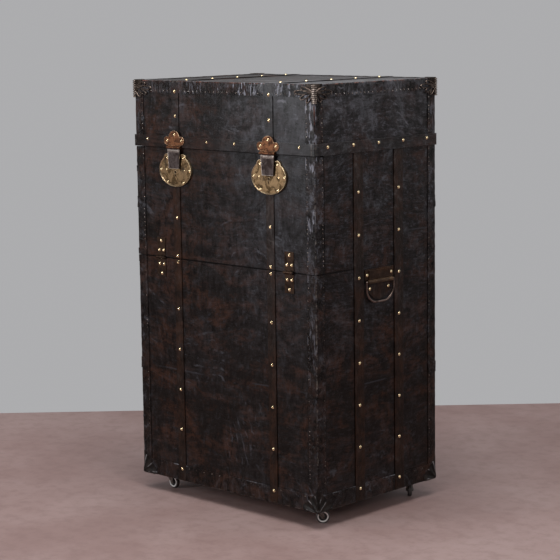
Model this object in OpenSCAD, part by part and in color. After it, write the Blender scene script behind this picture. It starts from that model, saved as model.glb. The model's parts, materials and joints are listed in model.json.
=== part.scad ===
// Wardrobe trunk: a leather covered case on four swivel casters, with a hinged lid,
// a drop flap in the upper front, two hasp locks and a ring handle on each side.
// Millimetres. Origin on the floor at the middle of the whole trunk.
// X runs to the right along the front, Y to the back, Z up.

/* [Case] */
// Width over the leather
case_w = 580; // [500:1:720]
// Depth over the leather
case_d = 416; // [370:1:520]
// Height of the fixed front, from the bottom edge to the flap seam
lower_h = 541; // [460:1:620]
// Height from the flap seam to the lid joint
flap_h = 263; // [230:1:320]
// Height of the lid
lid_h = 156; // [135:1:200]

/* [Boards and skins] */
// Thickness of the wall boards
board_t = 12; // [9:0.5:16]
// Thickness of the base board
base_t = 15; // [12:0.5:20]
// Thickness of the leather cover
leather_t = 1.6; // [1.2:0.1:2.4]
// Thickness of the lining
lining_t = 1; // [0.6:0.1:1.6]

/* [Openings and gaps] */
// Gap at the seam under the flap
seam_gap = 1.5; // [1:0.1:2.5]
// Gap under the closed lid
lid_gap = 0.4; // [0.3:0.1:1]
// Gap between the flap's top edge and the lid joint
flap_head_gap = 1; // [0.8:0.1:2]
// How far the flap's top falls off towards the back of its returns
flap_head_drop = 2; // [1.8:0.1:2.4]
// Depth of the flap's side returns, from the front face
return_d = 29; // [24:0.5:31]
// Gap behind the side returns
return_gap = 1; // [0.5:0.1:2]
// Radial clearance of a pin in its knuckle or bore
running = 0.05; // [0.02:0.01:0.1]
// Clearance between loosely facing parts
loose = 0.4; // [0.3:0.1:0.8]
// Width of the leather joint on the sides
groove_w = 1.4; // [0.8:0.1:2]
// Depth of the leather joint on the sides
groove_depth = 0.9; // [0.4:0.1:1.1]

/* [Rim band and bindings] */
// Height of the band round the lid's lower edge
band_h = 27; // [22:1:34]
// Thickness of the band
band_t = 4; // [3:0.5:6]
// Width of a corner binding on each face
binding_w = 27; // [20:0.5:27]
// Thickness of the bindings
binding_t = 1.2; // [0.8:0.1:1.8]
// Height of the top edge binding on the lid walls
edge_binding_h = 27; // [20:1:34]
// Width of the top edge binding on the lid top
edge_binding_top = 20; // [14:1:30]
// Height of the binding round the foot of the case
foot_binding_h = 38; // [28:1:46]

/* [Straps] */
// Distance of the front, top and back straps from the middle
strap_x = 153; // [120:1:175]
// Width of these straps
strap_w = 24; // [18:1:30]
// Thickness of all straps
strap_t = 2.2; // [1.6:0.1:3]
// Distance from the front face to the middle of the front side strip
strip_front = 142; // [110:1:142]
// Distance from the front face to the middle of the rear side strip
strip_rear = 282; // [282:1:310]
// Width of the side strips
strip_w = 32; // [24:1:33]

/* [Nails] */
// Diameter of a nail head
nail_d = 8; // [6:0.5:9]
// Height of a nail head
nail_head = 2; // [1.4:0.1:2.2]
// Diameter of a nail shank
nail_shank_d = 2; // [1.4:0.1:2.6]
// Length of a nail shank
nail_shank = 10; // [8.5:0.5:12]
// Spacing of the nails along a strap
nail_pitch = 98; // [80:1:120]
// Height of the lowest nail
first_nail = 29; // [20:1:50]
// Distance of a strap's end nail from the flap seam
seam_nail = 8; // [6:0.5:14]
// Spacing of the nails along the sides of the rim band
band_pitch = 86; // [70:1:110]
// Distance from the front face to the first of these nails
band_first = 39; // [30:1:50]
// Height of the nails above the band's lower edge
band_nail_z = 18; // [12:1:20]
// Distance of the inner nails of the front and back band from the middle
band_nail_in = 45; // [30:1:80]
// Distance of the outer nails of the front and back band from the middle
band_nail_out = 247; // [230:1:252]
// Spacing of the nails on the top straps
top_pitch = 85; // [60:1:90]

/* [Flap hinges] */
// Distance of the flap hinges from the middle
flap_hinge_x = 210; // [195:1:220]
// Distance of the lid hinges from the middle
lid_hinge_x = 205; // [190:1:215]
// Width of the hinge leaves
leaf_w = 28; // [22:1:34]
// Length of a leaf from the hinge axis
leaf_l = 47; // [44:1:60]
// Thickness of the leaves
leaf_t = 1.6; // [1.2:0.1:2]
// Diameter of the hinge knuckles
knuckle_d = 7.6; // [6:0.2:9]
// Length of the middle knuckle
knuckle_mid = 10; // [8:0.5:14]
// Diameter of the hinge pins
hinge_pin_d = 3.2; // [2.4:0.1:4]
// Gap between a knuckle and the leather
knuckle_stand = 0.6; // [0.4:0.1:1.2]
// Distance of the pair of nails from the hinge axis
leaf_nail_near = 16.5; // [14:0.5:20]
// Distance of the end nail from the hinge axis
leaf_nail_far = 39; // [32:0.5:39.5]
// Sideways distance of the paired nails from the leaf's middle
leaf_nail_side = 7.3; // [6:0.1:8]

/* [Locks] */
// Width of a lock plate
lock_w = 108; // [90:1:116]
// Height of a lock plate's ellipse
lock_h = 78; // [64:1:82]
// Stand-off height of a lock plate
lock_t = 3.8; // [3:0.1:4.6]
// Distance of a lock plate's middle below the lid joint
lock_drop = 52; // [48:1:60]
// Radius of a lock plate's shoulder humps
hump_r = 10.5; // [8:0.5:12]
// Height of the shoulder humps above the plate's middle
hump_up = 28; // [24:1:30]
// Distance of the shoulder humps and their nails from the plate's middle
hump_side = 27; // [24:1:30]
// Distance of the side nails from the plate's middle
lock_nail_side = 48; // [36:0.5:49]
// Depth of the lower nails below the plate's middle
lock_nail_low = 29.5; // [22:0.5:30]
// Diameter of the small rivets beside the tongue
rivet_d = 5; // [4:0.5:6]
// Distance of these rivets from the plate's middle
rivet_side = 30.5; // [28:0.5:34]
// Width of a keyhole
keyhole_w = 5; // [4:0.5:6]
// Height of a keyhole
keyhole_h = 13; // [10:0.5:16]
// Width of a lock case inside the flap
case_lock_w = 64; // [50:1:80]
// Height of a lock case
case_lock_h = 42; // [34:1:46]
// Depth of a lock case
case_lock_d = 12; // [9:0.5:14]

/* [Hasps] */
// Length of the hasp barrel
barrel_l = 46; // [40:1:52]
// Diameter of the hasp barrel
barrel_d = 7.2; // [6:0.2:8]
// Height of the barrel's axis above the lid joint
barrel_up = 1.8; // [1.6:0.1:3]
// Length of the tongue's knuckle
tongue_knuckle = 24; // [18:0.5:28]
// Diameter of the hasp pins
hasp_pin_d = 2.8; // [2:0.1:3.4]
// Thickness of the hasp plates
hasp_plate_t = 1.8; // [1.4:0.1:2.4]
// Radius of a hasp plate's lobes
lobe_r = 10; // [8:0.5:11]
// Height of the side lobes above the lid joint
lobe_side_z = 17; // [14:0.5:18]
// Distance of the side lobes from the plate's middle
lobe_side = 24; // [20:0.5:28]
// Height of the top lobe above the lid joint
lobe_top_z = 31; // [26:0.5:34]
// Length of a tongue below the barrel's axis
tongue_l = 50; // [42:0.5:54]
// Width of a tongue at its top
tongue_top_w = 42; // [36:0.5:44]
// Width of a tongue at its end
tongue_end_w = 35; // [28:0.5:38]
// Thickness of a tongue
tongue_t = 2.2; // [1.6:0.1:2.6]
// Depth of the rim turned back round a tongue
tongue_rim = 2.2; // [1:0.1:2.4]

/* [Handles] */
// Distance from the front face to the middle of a handle
handle_front = 212; // [212:1:212]
// Height of the ring's bar above the case bottom
handle_z = 506; // [440:1:560]
// Width over the ring
ring_w = 100; // [84:1:102]
// Radius of a ring's two lower corners, along the middle of its wire
ring_corner = 34; // [26:1:40]
// Diameter of the ring wire
wire_d = 5; // [4:0.5:6]
// Thickness of one layer of the handle tab
tab_t = 2; // [1.6:0.1:2.4]
// Height of the tab above the bar
tab_h = 29; // [24:1:36]
// Thickness of the backing piece behind a ring
backing_t = 1.6; // [1.2:0.1:1.8]
// Depth of the backing piece below the bar
backing_drop = 42; // [36:1:44]
// Distance of the tab's nails from the handle's middle
tab_nail_side = 42; // [36:0.5:42.5]
// Height of the tab's nails above the bar
tab_nail_up = 16; // [12:0.5:20]
// Distance of the backing's nails from the handle's middle
backing_nail_side = 32.5; // [26:0.5:33]

/* [Corner caps] */
// Reach of a bottom corner cap
foot_cap_r = 31; // [24:1:32]
// Thickness of a bottom corner cap
foot_cap_t = 3; // [2:0.1:4]
// Reach of the shell of a top corner cap
head_cap_r = 26; // [20:1:32]
// Thickness of the shell of a top corner cap
head_cap_t = 1.4; // [1:0.1:2]
// Height of the petal loops on a top corner cap
petal_t = 2.8; // [2:0.1:3.4]
// Half width of a petal loop
petal_r = 5.2; // [4:0.1:6]
// Width of the strip of metal that forms a loop
petal_rim = 2; // [1.4:0.1:2.4]
// Length of the ribbed ridge on a top corner cap
ridge_l = 42; // [34:1:48]
// Width of that ridge on each face
ridge_w = 5; // [4:0.5:7]
// Height of that ridge
ridge_t = 4; // [3:0.5:5]

/* [Casters] */
// Diameter of a wheel
wheel_d = 31; // [26:1:36]
// Width of a wheel
wheel_w = 11; // [8:0.5:13]
// Distance of the wheel's axle behind the swivel axis
trail = 14; // [10:0.5:16]
// Distance of the swivel axis from the case's side
caster_in_x = 45; // [42:1:60]
// Distance of the swivel axis from the case's front or back
caster_in_y = 43; // [42:1:60]
// Side of the square mounting plate
caster_plate = 36; // [32:1:38]
// Thickness of the mounting plate
caster_plate_t = 2; // [1.6:0.1:3]
// Height of the ball race under the plate
race_h = 2.5; // [2:0.1:4]
// Thickness of the fork's crown
crown_t = 2; // [1.6:0.1:2.6]
// Gap between the wheel and the crown
crown_gap = 2; // [2:0.5:4]
// Thickness of the fork's legs
leg_t = 1.8; // [1.4:0.1:2.4]
// Diameter of the axles
axle_d = 4; // [3:0.5:5]
// Diameter of the kingpins
kingpin_d = 5; // [4:0.5:6]

/* [Garment rail] */
// Diameter of the rail
rail_d = 22; // [18:1:26]
// Depth of the rail's axis below the lid joint
rail_drop = 42; // [36:1:60]
// Distance of the rail behind the middle of the case
rail_back = 15; // [-20:1:40]
// Length of a rail socket
socket_l = 9; // [7:0.5:12]
// Thickness of a rail socket's wall
socket_t = 2.5; // [2:0.5:4]
// Height of the lid's inner lip
lip_h = 30; // [26:1:36]
// Depth of the lip below the lid joint
lip_drop = 12; // [8:1:14]
// Thickness of the lip
lip_t = 7; // [5:0.5:9]

/* [Hidden] */
$fn = 48;

LEATHER = [0.13, 0.10, 0.09];
STRAP = [0.22, 0.13, 0.09];
BRASS = [0.80, 0.62, 0.30];
OLD_BRASS = [0.52, 0.42, 0.22];
COPPER = [0.42, 0.27, 0.18];
STEEL = [0.45, 0.44, 0.43];
IRON = [0.16, 0.14, 0.13];
WOOD = [0.62, 0.46, 0.29];
CLOTH = [0.62, 0.54, 0.42];
CHROME = [0.80, 0.80, 0.80];

// Heights are counted from the bottom edge of the case.
half_w = case_w / 2;
half_d = case_d / 2;
joint_z = lower_h + flap_h;
case_h = joint_z + lid_h;
lid_z = joint_z + lid_gap;
board_x = half_w - leather_t;
board_y = half_d - leather_t;
inner_x = board_x - board_t;
inner_y = board_y - board_t;
room_x = inner_x - lining_t;
room_y = inner_y - lining_t;
front_top = lower_h - seam_gap / 2;
flap_bottom = lower_h + seam_gap / 2;
flap_top = joint_z - flap_head_gap;
post_y = -half_d + return_d + return_gap;

// Hinge and hasp axes, as distances in front of or behind the leather
hinge_out = knuckle_d / 2 + knuckle_stand;
hasp_out = band_t + barrel_d / 2 + loose;
hasp_z = joint_z + barrel_up;
lid_axis_z = joint_z + lid_gap / 2;

// Handles
wire_r = wire_d / 2;
loop_r = wire_r + running + tab_t;
bar_out = loop_r;
handle_y = -half_d + handle_front;
ring_r = ring_w / 2 - wire_r;

// Casters, counted from the floor
axle_z = wheel_d / 2;
crown_z = wheel_d + crown_gap;
swivel_gap = loose + 0.1;
race_z = crown_z + crown_t + swivel_gap;
plate_z = race_z + race_h;
ground_gap = plate_z + caster_plate_t;
caster_yaw = [0, 44, 20, -46];

// The case stands a little behind the middle, so that the whole depth is centred.
front_reach = max(hasp_out + barrel_d / 2, hinge_out + knuckle_d / 2);
back_reach = hinge_out + knuckle_d / 2;
case_y = (front_reach - back_reach) / 2;

over = 1;

module in_case() {
    translate([0, case_y, ground_gap]) children();
}

module span(x0, x1, y0, y1, z0, z1) {
    translate([x0, y0, z0]) cube([x1 - x0, y1 - y0, z1 - z0]);
}

module block(x, y, z0, z1) {
    span(-x, x, -y, y, z0, z1);
}

module both_sides() {
    children();
    mirror([1, 0, 0]) children();
}

module four_corners() {
    both_sides() {
        children();
        mirror([0, 1, 0]) children();
    }
}

// Each of these turns a drawing's X and Y onto a wall, with Z pointing out of it.
module on_front(x, z, out = 0) {
    translate([x, -half_d - out, z]) rotate([90, 0, 0]) children();
}

module on_back(x, z, out = 0) {
    translate([x, half_d + out, z]) rotate([90, 0, 180]) children();
}

module on_side(y, z, out = 0) {
    both_sides() translate([half_w + out, y, z]) rotate([90, 0, 90]) children();
}

module on_top(x, y, out = 0) {
    translate([x, y, case_h + out]) children();
}

// Domed nail: the head's flat side lies on Z = 0 and the shank points down.
module nail(head_d = nail_d, head_h = nail_head, shank = nail_shank) {
    dome_r = (pow(head_d / 2, 2) + pow(head_h, 2)) / (2 * head_h);
    intersection() {
        translate([0, 0, head_h - dome_r]) sphere(dome_r);
        translate([0, 0, head_h]) cube([2 * head_d, 2 * head_d, 2 * head_h], center = true);
    }
    translate([0, 0, -shank]) cylinder(d = nail_shank_d, h = shank + head_h / 2);
}

function strap_rows(top) = [for (z = [first_nail : nail_pitch : top - nail_pitch / 2]) z];

// The case below the lid

module base_board() {
    color(WOOD) in_case() block(board_x, board_y, 0, base_t);
}

module floor_lining() {
    color(CLOTH) in_case() block(inner_x, inner_y, base_t, base_t + lining_t);
}

module side_panel() {
    span(inner_x, board_x, -board_y, board_y, base_t, front_top);
    span(inner_x, board_x, post_y, board_y, base_t, joint_z);
}

module side_panel_right() {
    color(WOOD) in_case() side_panel();
}

module side_panel_left() {
    color(WOOD) in_case() mirror([1, 0, 0]) side_panel();
}

module back_panel() {
    color(WOOD) in_case() span(-inner_x, inner_x, inner_y, board_y, base_t, joint_z);
}

module front_panel() {
    color(WOOD) in_case() span(-inner_x, inner_x, -board_y, -inner_y, base_t, front_top);
}

module body_leather() {
    strip_edge = -half_d + strip_front - strip_w / 2;
    color(LEATHER) in_case() difference() {
        block(half_w, half_d, 0, joint_z);
        block(board_x, board_y, -over, joint_z + over);
        span(-half_w - over, half_w + over, -half_d - over, post_y, front_top, joint_z + over);
        both_sides() span(half_w - groove_depth, half_w + over, post_y - over, strip_edge,
                          lower_h - groove_w / 2, lower_h + groove_w / 2);
    }
}

module body_lining() {
    color(CLOTH) in_case() difference() {
        block(inner_x, inner_y, base_t + lining_t, joint_z);
        block(room_x, room_y, base_t, joint_z + over);
        span(-half_w, half_w, -half_d, post_y, front_top, joint_z + over);
    }
}

// L-shaped strip wrapped round a vertical corner, at the front right
module corner_binding(z0, z1) {
    difference() {
        span(half_w - binding_w, half_w + binding_t, -half_d - binding_t, -half_d + binding_w, z0, z1);
        span(half_w - binding_w - over, half_w, -half_d, -half_d + binding_w + over, z0 - over, z1 + over);
    }
}

// Strips round the foot of the case. They stop short of the corner bindings and on both sides of each strap.
module foot_bindings() {
    end = binding_w + loose;
    difference() {
        union() {
            block(half_w - end, half_d + binding_t, 0, foot_binding_h);
            block(half_w + binding_t, half_d - end, 0, foot_binding_h);
        }
        block(half_w, half_d, -over, foot_binding_h + over);
        both_sides() span(strap_x - strap_w / 2, strap_x + strap_w / 2, -case_d, case_d,
                          -over, foot_binding_h + over);
        for (y = [strip_front - half_d, strip_rear - half_d])
            span(-case_w, case_w, y - strip_w / 2, y + strip_w / 2, -over, foot_binding_h + over);
    }
}

module body_bindings() {
    color(LEATHER) in_case() {
        both_sides() {
            corner_binding(0, front_top);
            mirror([0, 1, 0]) corner_binding(0, joint_z);
        }
        foot_bindings();
    }
}

// Shell on three faces of a corner, trimmed to a round outline by a sphere.
// The corner points to +X, -Y and -Z, and the shell lies outside it.
module corner_shell(reach, t) {
    intersection() {
        difference() {
            span(-reach, t, -t, reach, -t, reach);
            span(-reach - over, 0, 0, reach + over, 0, reach + over);
        }
        sphere(reach);
    }
}

module bottom_corner_caps() {
    color(IRON) in_case() four_corners()
        translate([half_w + binding_t, -half_d - binding_t, 0]) corner_shell(foot_cap_r, foot_cap_t);
}

module front_strap(z0, z1) {
    both_sides() span(strap_x - strap_w / 2, strap_x + strap_w / 2, -half_d - strap_t, -half_d, z0, z1);
}

module lower_front_straps() {
    color(STRAP) in_case() front_strap(0, front_top);
}

module back_straps() {
    color(STRAP) in_case() mirror([0, 1, 0]) front_strap(0, joint_z);
}

module side_strips() {
    color(STRAP) in_case() for (y = [strip_front, strip_rear])
        both_sides() span(half_w, half_w + strap_t, -half_d + y - strip_w / 2, -half_d + y + strip_w / 2,
                          0, joint_z);
}

// Three nails of a hinge leaf, at heights counted from the hinge axis
module leaf_nails(up) {
    for (x = [-leaf_nail_side, leaf_nail_side]) translate([x, up * leaf_nail_near, 0]) nail();
    translate([0, up * leaf_nail_far, 0]) nail();
}

module body_nails() {
    color(BRASS) in_case() {
        both_sides() {
            for (z = strap_rows(lower_h)) on_front(strap_x, z, strap_t) nail();
            on_front(strap_x, lower_h - seam_nail, strap_t) nail();
            on_front(flap_hinge_x, lower_h, leaf_t) leaf_nails(-1);
            for (z = strap_rows(joint_z)) on_back(strap_x, z, strap_t) nail();
            on_back(lid_hinge_x, lid_axis_z, leaf_t) leaf_nails(-1);
        }
        for (y = [strip_front, strip_rear]) for (z = strap_rows(joint_z))
            on_side(-half_d + y, z, strap_t) nail();
        for (s = [-1, 1]) {
            on_side(handle_y + s * tab_nail_side, handle_z + tab_nail_up, tab_t) nail();
            on_side(handle_y + s * backing_nail_side, handle_z - tab_nail_up, backing_t) nail();
        }
    }
}

// Ring handles

// Tab of folded leather: two layers lie on the wall and loop round the ring's bar.
module handle_tab() {
    inner_half = ring_w / 2 - wire_d - over;
    foot = wire_d;
    difference() {
        union() {
            span(0, tab_t, -ring_w / 2, ring_w / 2, foot, tab_h);
            span(0, 2 * tab_t, -inner_half, inner_half, 0, tab_h);
            translate([bar_out, inner_half, 0]) rotate([90, 0, 0]) cylinder(r = loop_r, h = 2 * inner_half);
        }
        translate([bar_out, ring_w, 0]) rotate([90, 0, 0]) cylinder(r = wire_r + running, h = 2 * ring_w);
    }
}

module on_handles() {
    in_case() both_sides() translate([half_w, handle_y, handle_z]) children();
}

module handle_tabs() {
    color(STRAP) on_handles() handle_tab();
}

module handle_backings() {
    top = -loop_r - 0.2;
    half = backing_nail_side + nail_d / 2 + 1.5;
    color(LEATHER) on_handles() rotate([90, 0, 90]) linear_extrude(backing_t)
        polygon([[-half, top], [half, top], [half, -backing_drop * 0.5], [half * 0.5, -backing_drop * 0.88],
                 [0, -backing_drop], [-half * 0.5, -backing_drop * 0.88], [-half, -backing_drop * 0.5]]);
}

// Ring with a straight bar, two legs, two round corners and a straight foot. It hangs from the bar, which lies on
// the Y axis.
module handle_ring() {
    leg = ring_r - ring_corner;
    translate([0, ring_r, 0]) rotate([90, 0, 0]) cylinder(r = wire_r, h = 2 * ring_r);
    translate([0, leg, -ring_r]) rotate([90, 0, 0]) cylinder(r = wire_r, h = 2 * leg);
    for (s = [-1, 1]) {
        translate([0, s * ring_r, 0]) sphere(wire_r);
        translate([0, s * ring_r, -leg]) cylinder(r = wire_r, h = leg);
        translate([0, s * leg, -leg]) rotate([90, 0, 90]) rotate([0, 0, 225 + 45 * s])
            rotate_extrude(angle = 90) translate([ring_corner, 0]) circle(wire_r);
    }
}

module handle_ring_right() {
    color(OLD_BRASS) in_case() translate([half_w + bar_out, handle_y, handle_z]) handle_ring();
}

module handle_ring_left() {
    color(OLD_BRASS) in_case() mirror([1, 0, 0])
        translate([half_w + bar_out, handle_y, handle_z]) handle_ring();
}

// Strap hinges. The axis is the X axis, the wall is behind it and the leaf goes up.

module leaf_plate() {
    span(-leaf_w / 2, leaf_w / 2, hinge_out - leaf_t, hinge_out, knuckle_d / 2 + loose, leaf_l);
}

module knuckle(x0, x1) {
    translate([x0, 0, 0]) rotate([0, 90, 0]) cylinder(d = knuckle_d, h = x1 - x0);
    span(x0, x1, 0, hinge_out, 0, knuckle_d / 2 + loose + over / 2);
}

module pin_bore() {
    translate([-leaf_w, 0, 0]) rotate([0, 90, 0]) cylinder(d = hinge_pin_d + 2 * running, h = 2 * leaf_w);
}

module middle_leaf() {
    difference() {
        union() {
            leaf_plate();
            knuckle(-knuckle_mid / 2, knuckle_mid / 2);
        }
        pin_bore();
    }
}

module outer_leaf() {
    gap = knuckle_mid / 2 + loose;
    difference() {
        union() {
            leaf_plate();
            knuckle(gap, leaf_w / 2);
            knuckle(-leaf_w / 2, -gap);
        }
        pin_bore();
    }
}

module hinge_pin() {
    translate([-leaf_w / 2, 0, 0]) rotate([0, 90, 0]) cylinder(d = hinge_pin_d, h = leaf_w);
}

module on_flap_hinges() {
    in_case() both_sides() translate([flap_hinge_x, -half_d - hinge_out, lower_h]) children();
}

module on_lid_hinges() {
    in_case() both_sides() translate([lid_hinge_x, half_d + hinge_out, lid_axis_z])
        mirror([0, 1, 0]) children();
}

module flap_hinge_lower_leaves() {
    color(STEEL) on_flap_hinges() mirror([0, 0, 1]) outer_leaf();
}

module flap_hinge_upper_leaves() {
    color(STEEL) on_flap_hinges() middle_leaf();
}

module flap_hinge_pins() {
    color(STEEL) on_flap_hinges() hinge_pin();
}

module lid_hinge_lower_leaves() {
    color(STEEL) on_lid_hinges() mirror([0, 0, 1]) outer_leaf();
}

module lid_hinge_upper_leaves() {
    color(STEEL) on_lid_hinges() middle_leaf();
}

module lid_hinge_pins() {
    color(STEEL) on_lid_hinges() hinge_pin();
}

// Inside

rail_z = joint_z - rail_drop;

module garment_rail() {
    reach = room_x - socket_t - loose;
    color(CHROME) in_case() translate([-reach, rail_back, rail_z]) rotate([0, 90, 0])
        cylinder(d = rail_d, h = 2 * reach);
}

module rail_sockets() {
    color(STEEL) in_case() both_sides() translate([room_x, rail_back, rail_z]) rotate([0, -90, 0])
        difference() {
            union() {
                cylinder(d = rail_d + 8 * socket_t, h = socket_t);
                cylinder(d = rail_d + 2 * socket_t, h = socket_l);
            }
            translate([0, 0, socket_t]) cylinder(d = rail_d + 2 * running, h = socket_l);
        }
}

// Lid

module lid_top_board() {
    color(WOOD) in_case() block(board_x, board_y, case_h - leather_t - board_t, case_h - leather_t);
}

module lid_wall_boards() {
    top = case_h - leather_t - board_t;
    color(WOOD) in_case() difference() {
        block(board_x, board_y, lid_z, top);
        block(inner_x, inner_y, lid_z - over, top + over);
    }
}

module lid_leather() {
    color(LEATHER) in_case() difference() {
        block(half_w, half_d, lid_z, case_h);
        block(board_x, board_y, lid_z - over, case_h - leather_t);
    }
}

module lid_lining() {
    ceiling = case_h - leather_t - board_t;
    color(CLOTH) in_case() difference() {
        block(inner_x, inner_y, lid_z, ceiling);
        block(room_x, room_y, lid_z - over, ceiling - lining_t);
    }
}

// Batten frame that guides the closed lid inside the walls
module lid_lip() {
    shut = 2 * loose;
    bottom = joint_z - lip_drop;
    color(WOOD) in_case() difference() {
        union() {
            block(room_x, room_y, lid_z, bottom + lip_h);
            block(room_x - shut, room_y - shut, bottom, lid_z + over);
        }
        block(room_x - shut - lip_t, room_y - shut - lip_t, bottom - over, bottom + lip_h + over);
    }
}

module lid_rim_band() {
    slot = leaf_w / 2 + loose;
    color(LEATHER) in_case() difference() {
        block(half_w + band_t, half_d + band_t, lid_z, lid_z + band_h);
        block(half_w, half_d, lid_z - over, lid_z + band_h + over);
        both_sides() span(lid_hinge_x - slot, lid_hinge_x + slot, half_d - over, half_d + band_t + over,
                          lid_z - over, lid_z + band_h + over);
    }
}

module lid_bindings() {
    edge_z = case_h - edge_binding_h;
    slot = strap_w / 2 + loose / 2;
    color(LEATHER) in_case() {
        difference() {
            block(half_w + binding_t, half_d + binding_t, edge_z, case_h + binding_t);
            block(half_w, half_d, edge_z - over, case_h);
            block(half_w - edge_binding_top, half_d - edge_binding_top, edge_z, case_h + binding_t + over);
            both_sides() span(strap_x - slot, strap_x + slot, -case_d, case_d,
                              edge_z - over, case_h + binding_t + over);
        }
        four_corners() corner_binding(lid_z + band_h, edge_z);
    }
}

// Loop of a pressed ornament: a long drop with an open middle
module petal(angle, reach) {
    rotate(angle) difference() {
        union() {
            translate([0, -petal_r]) square([reach - petal_r, 2 * petal_r]);
            translate([reach - petal_r, 0]) circle(petal_r);
        }
        translate([petal_rim, petal_rim - petal_r])
            square([reach - petal_r - petal_rim, 2 * (petal_r - petal_rim)]);
        translate([reach - petal_r, 0]) circle(petal_r - petal_rim);
    }
}

// One wall of a top corner cap: four loops that fan out from the ridge
module cap_fan() {
    centre_z = -ridge_l * 0.42;
    linear_extrude(petal_t) intersection() {
        translate([0, centre_z]) {
            petal(180 - 15, 38);
            petal(180, 57);
            petal(180 + 20, 42);
            petal(180 + 48, 30);
        }
        translate([-2 * ridge_l, -2 * ridge_l]) square([2 * ridge_l, 2 * ridge_l]);
    }
}

module top_corner_cap() {
    translate([half_w + binding_t, -half_d - binding_t, case_h + binding_t]) {
        mirror([0, 0, 1]) corner_shell(head_cap_r, head_cap_t);
        rotate([90, 0, 0]) cap_fan();
        rotate([90, 0, 90]) mirror([1, 0, 0]) cap_fan();
        span(-ridge_w, ridge_t, -ridge_t, ridge_w, -ridge_l, head_cap_t);
    }
}

module top_corner_caps() {
    color(COPPER) in_case() difference() {
        four_corners() top_corner_cap();
        block(half_w + binding_t, half_d + binding_t, joint_z, case_h + binding_t);
    }
}

module lid_straps() {
    foot = lid_z + band_h;
    color(STRAP) in_case() both_sides() difference() {
        span(strap_x - strap_w / 2, strap_x + strap_w / 2, -half_d - strap_t, half_d + strap_t,
             foot, case_h + strap_t);
        span(strap_x - strap_w, strap_x + strap_w, -half_d, half_d, foot - over, case_h);
    }
}

module lid_nails() {
    wall_rows = [joint_z + lid_h * 0.48, case_h - seam_nail * 3];
    band_z = lid_z + band_nail_z;
    color(BRASS) in_case() {
        both_sides() {
            for (z = wall_rows) {
                on_front(strap_x, z, strap_t) nail();
                on_back(strap_x, z, strap_t) nail();
            }
            for (y = [-2 : 2]) on_top(strap_x, y * top_pitch, strap_t) nail();
            for (x = [band_nail_in, band_nail_out]) {
                on_front(x, band_z, band_t) nail();
                on_back(x, band_z, band_t) nail();
            }
            on_back(lid_hinge_x, lid_axis_z, leaf_t) leaf_nails(1);
            on_front(strap_x, joint_z, band_t + hasp_plate_t) {
                translate([0, lobe_top_z, 0]) nail();
                for (s = [-1, 1]) translate([s * lobe_side, lobe_side_z, 0]) nail();
            }
        }
        for (y = [band_first : band_pitch : case_d - band_first * 0.7])
            on_side(-half_d + y, band_z, band_t) nail();
    }
}

// Hasps. The axis of the barrel is the X axis, and the wall is behind it.

module on_hasps() {
    in_case() both_sides() translate([strap_x, -half_d - hasp_out, hasp_z]) children();
}

module hasp_bore() {
    translate([-barrel_l, 0, 0]) rotate([0, 90, 0]) cylinder(d = hasp_pin_d + 2 * running, h = 2 * barrel_l);
}

module hasp_plate() {
    back = hasp_out - band_t;
    edge_z = barrel_d / 2 + loose;
    top = lobe_top_z - barrel_up;
    side = lobe_side_z - barrel_up;
    gap = tongue_knuckle / 2 + loose;
    neck = barrel_l / 2 - 2;
    difference() {
        union() {
            translate([0, back, 0]) rotate([90, 0, 0]) linear_extrude(hasp_plate_t) {
                translate([0, top]) circle(lobe_r);
                for (s = [-1, 1]) translate([s * lobe_side, side]) circle(lobe_r);
                polygon([[-neck, edge_z], [neck, edge_z], [lobe_side + lobe_r * 0.5, side],
                         [lobe_side - lobe_r * 0.4, side + lobe_r * 0.8], [lobe_r * 0.9, top],
                         [-lobe_r * 0.9, top], [lobe_r * 0.4 - lobe_side, side + lobe_r * 0.8],
                         [-lobe_side - lobe_r * 0.5, side]]);
            }
            for (x0 = [gap, -barrel_l / 2]) {
                x1 = x0 + barrel_l / 2 - gap;
                translate([x0, 0, 0]) rotate([0, 90, 0]) cylinder(d = barrel_d, h = x1 - x0);
                span(x0, x1, 1, back, 0, edge_z + over);
            }
        }
        hasp_bore();
    }
}

module hasp_plates() {
    color(COPPER) on_hasps() hasp_plate();
}

module hasp_pins() {
    color(STEEL) on_hasps() translate([-barrel_l / 2, 0, 0]) rotate([0, 90, 0])
        cylinder(d = hasp_pin_d, h = barrel_l);
}

module hasp_tongue() {
    shoulder = -barrel_d / 2 - 2 * loose;
    top_half = tongue_top_w / 2;
    end_half = tongue_end_w / 2;
    rim = 1.6;
    difference() {
        union() {
            rotate([90, 0, 0]) translate([0, 0, -tongue_t / 2 - tongue_rim])
                linear_extrude(tongue_t + tongue_rim)
                    polygon([[-top_half, shoulder], [top_half, shoulder],
                             [end_half, -tongue_l], [-end_half, -tongue_l]]);
            translate([-tongue_knuckle / 2, 0, 0]) rotate([0, 90, 0])
                cylinder(d = barrel_d, h = tongue_knuckle);
            span(-tongue_knuckle / 2, tongue_knuckle / 2, -tongue_t / 2, tongue_t / 2, shoulder - over, 0);
        }
        rotate([90, 0, 0]) translate([0, 0, -tongue_t / 2 - 2 * tongue_rim]) linear_extrude(2 * tongue_rim)
            polygon([[rim - top_half, shoulder + over], [top_half - rim, shoulder + over],
                     [end_half - rim, rim - tongue_l], [rim - end_half, rim - tongue_l]]);
        hasp_bore();
    }
}

module hasp_tongue_right() {
    color(STEEL) in_case() translate([strap_x, -half_d - hasp_out, hasp_z]) hasp_tongue();
}

module hasp_tongue_left() {
    color(STEEL) in_case() mirror([1, 0, 0]) translate([strap_x, -half_d - hasp_out, hasp_z]) hasp_tongue();
}

// Drop flap

// The rear of the flap rises as the flap turns about its front hinges, so its top falls off towards the back.
module above_flap() {
    translate([-case_w, -half_d, flap_top]) rotate([-atan(flap_head_drop / return_d), 0, 0])
        cube([2 * case_w, 3 * return_d, 5 * flap_head_drop]);
}

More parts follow.
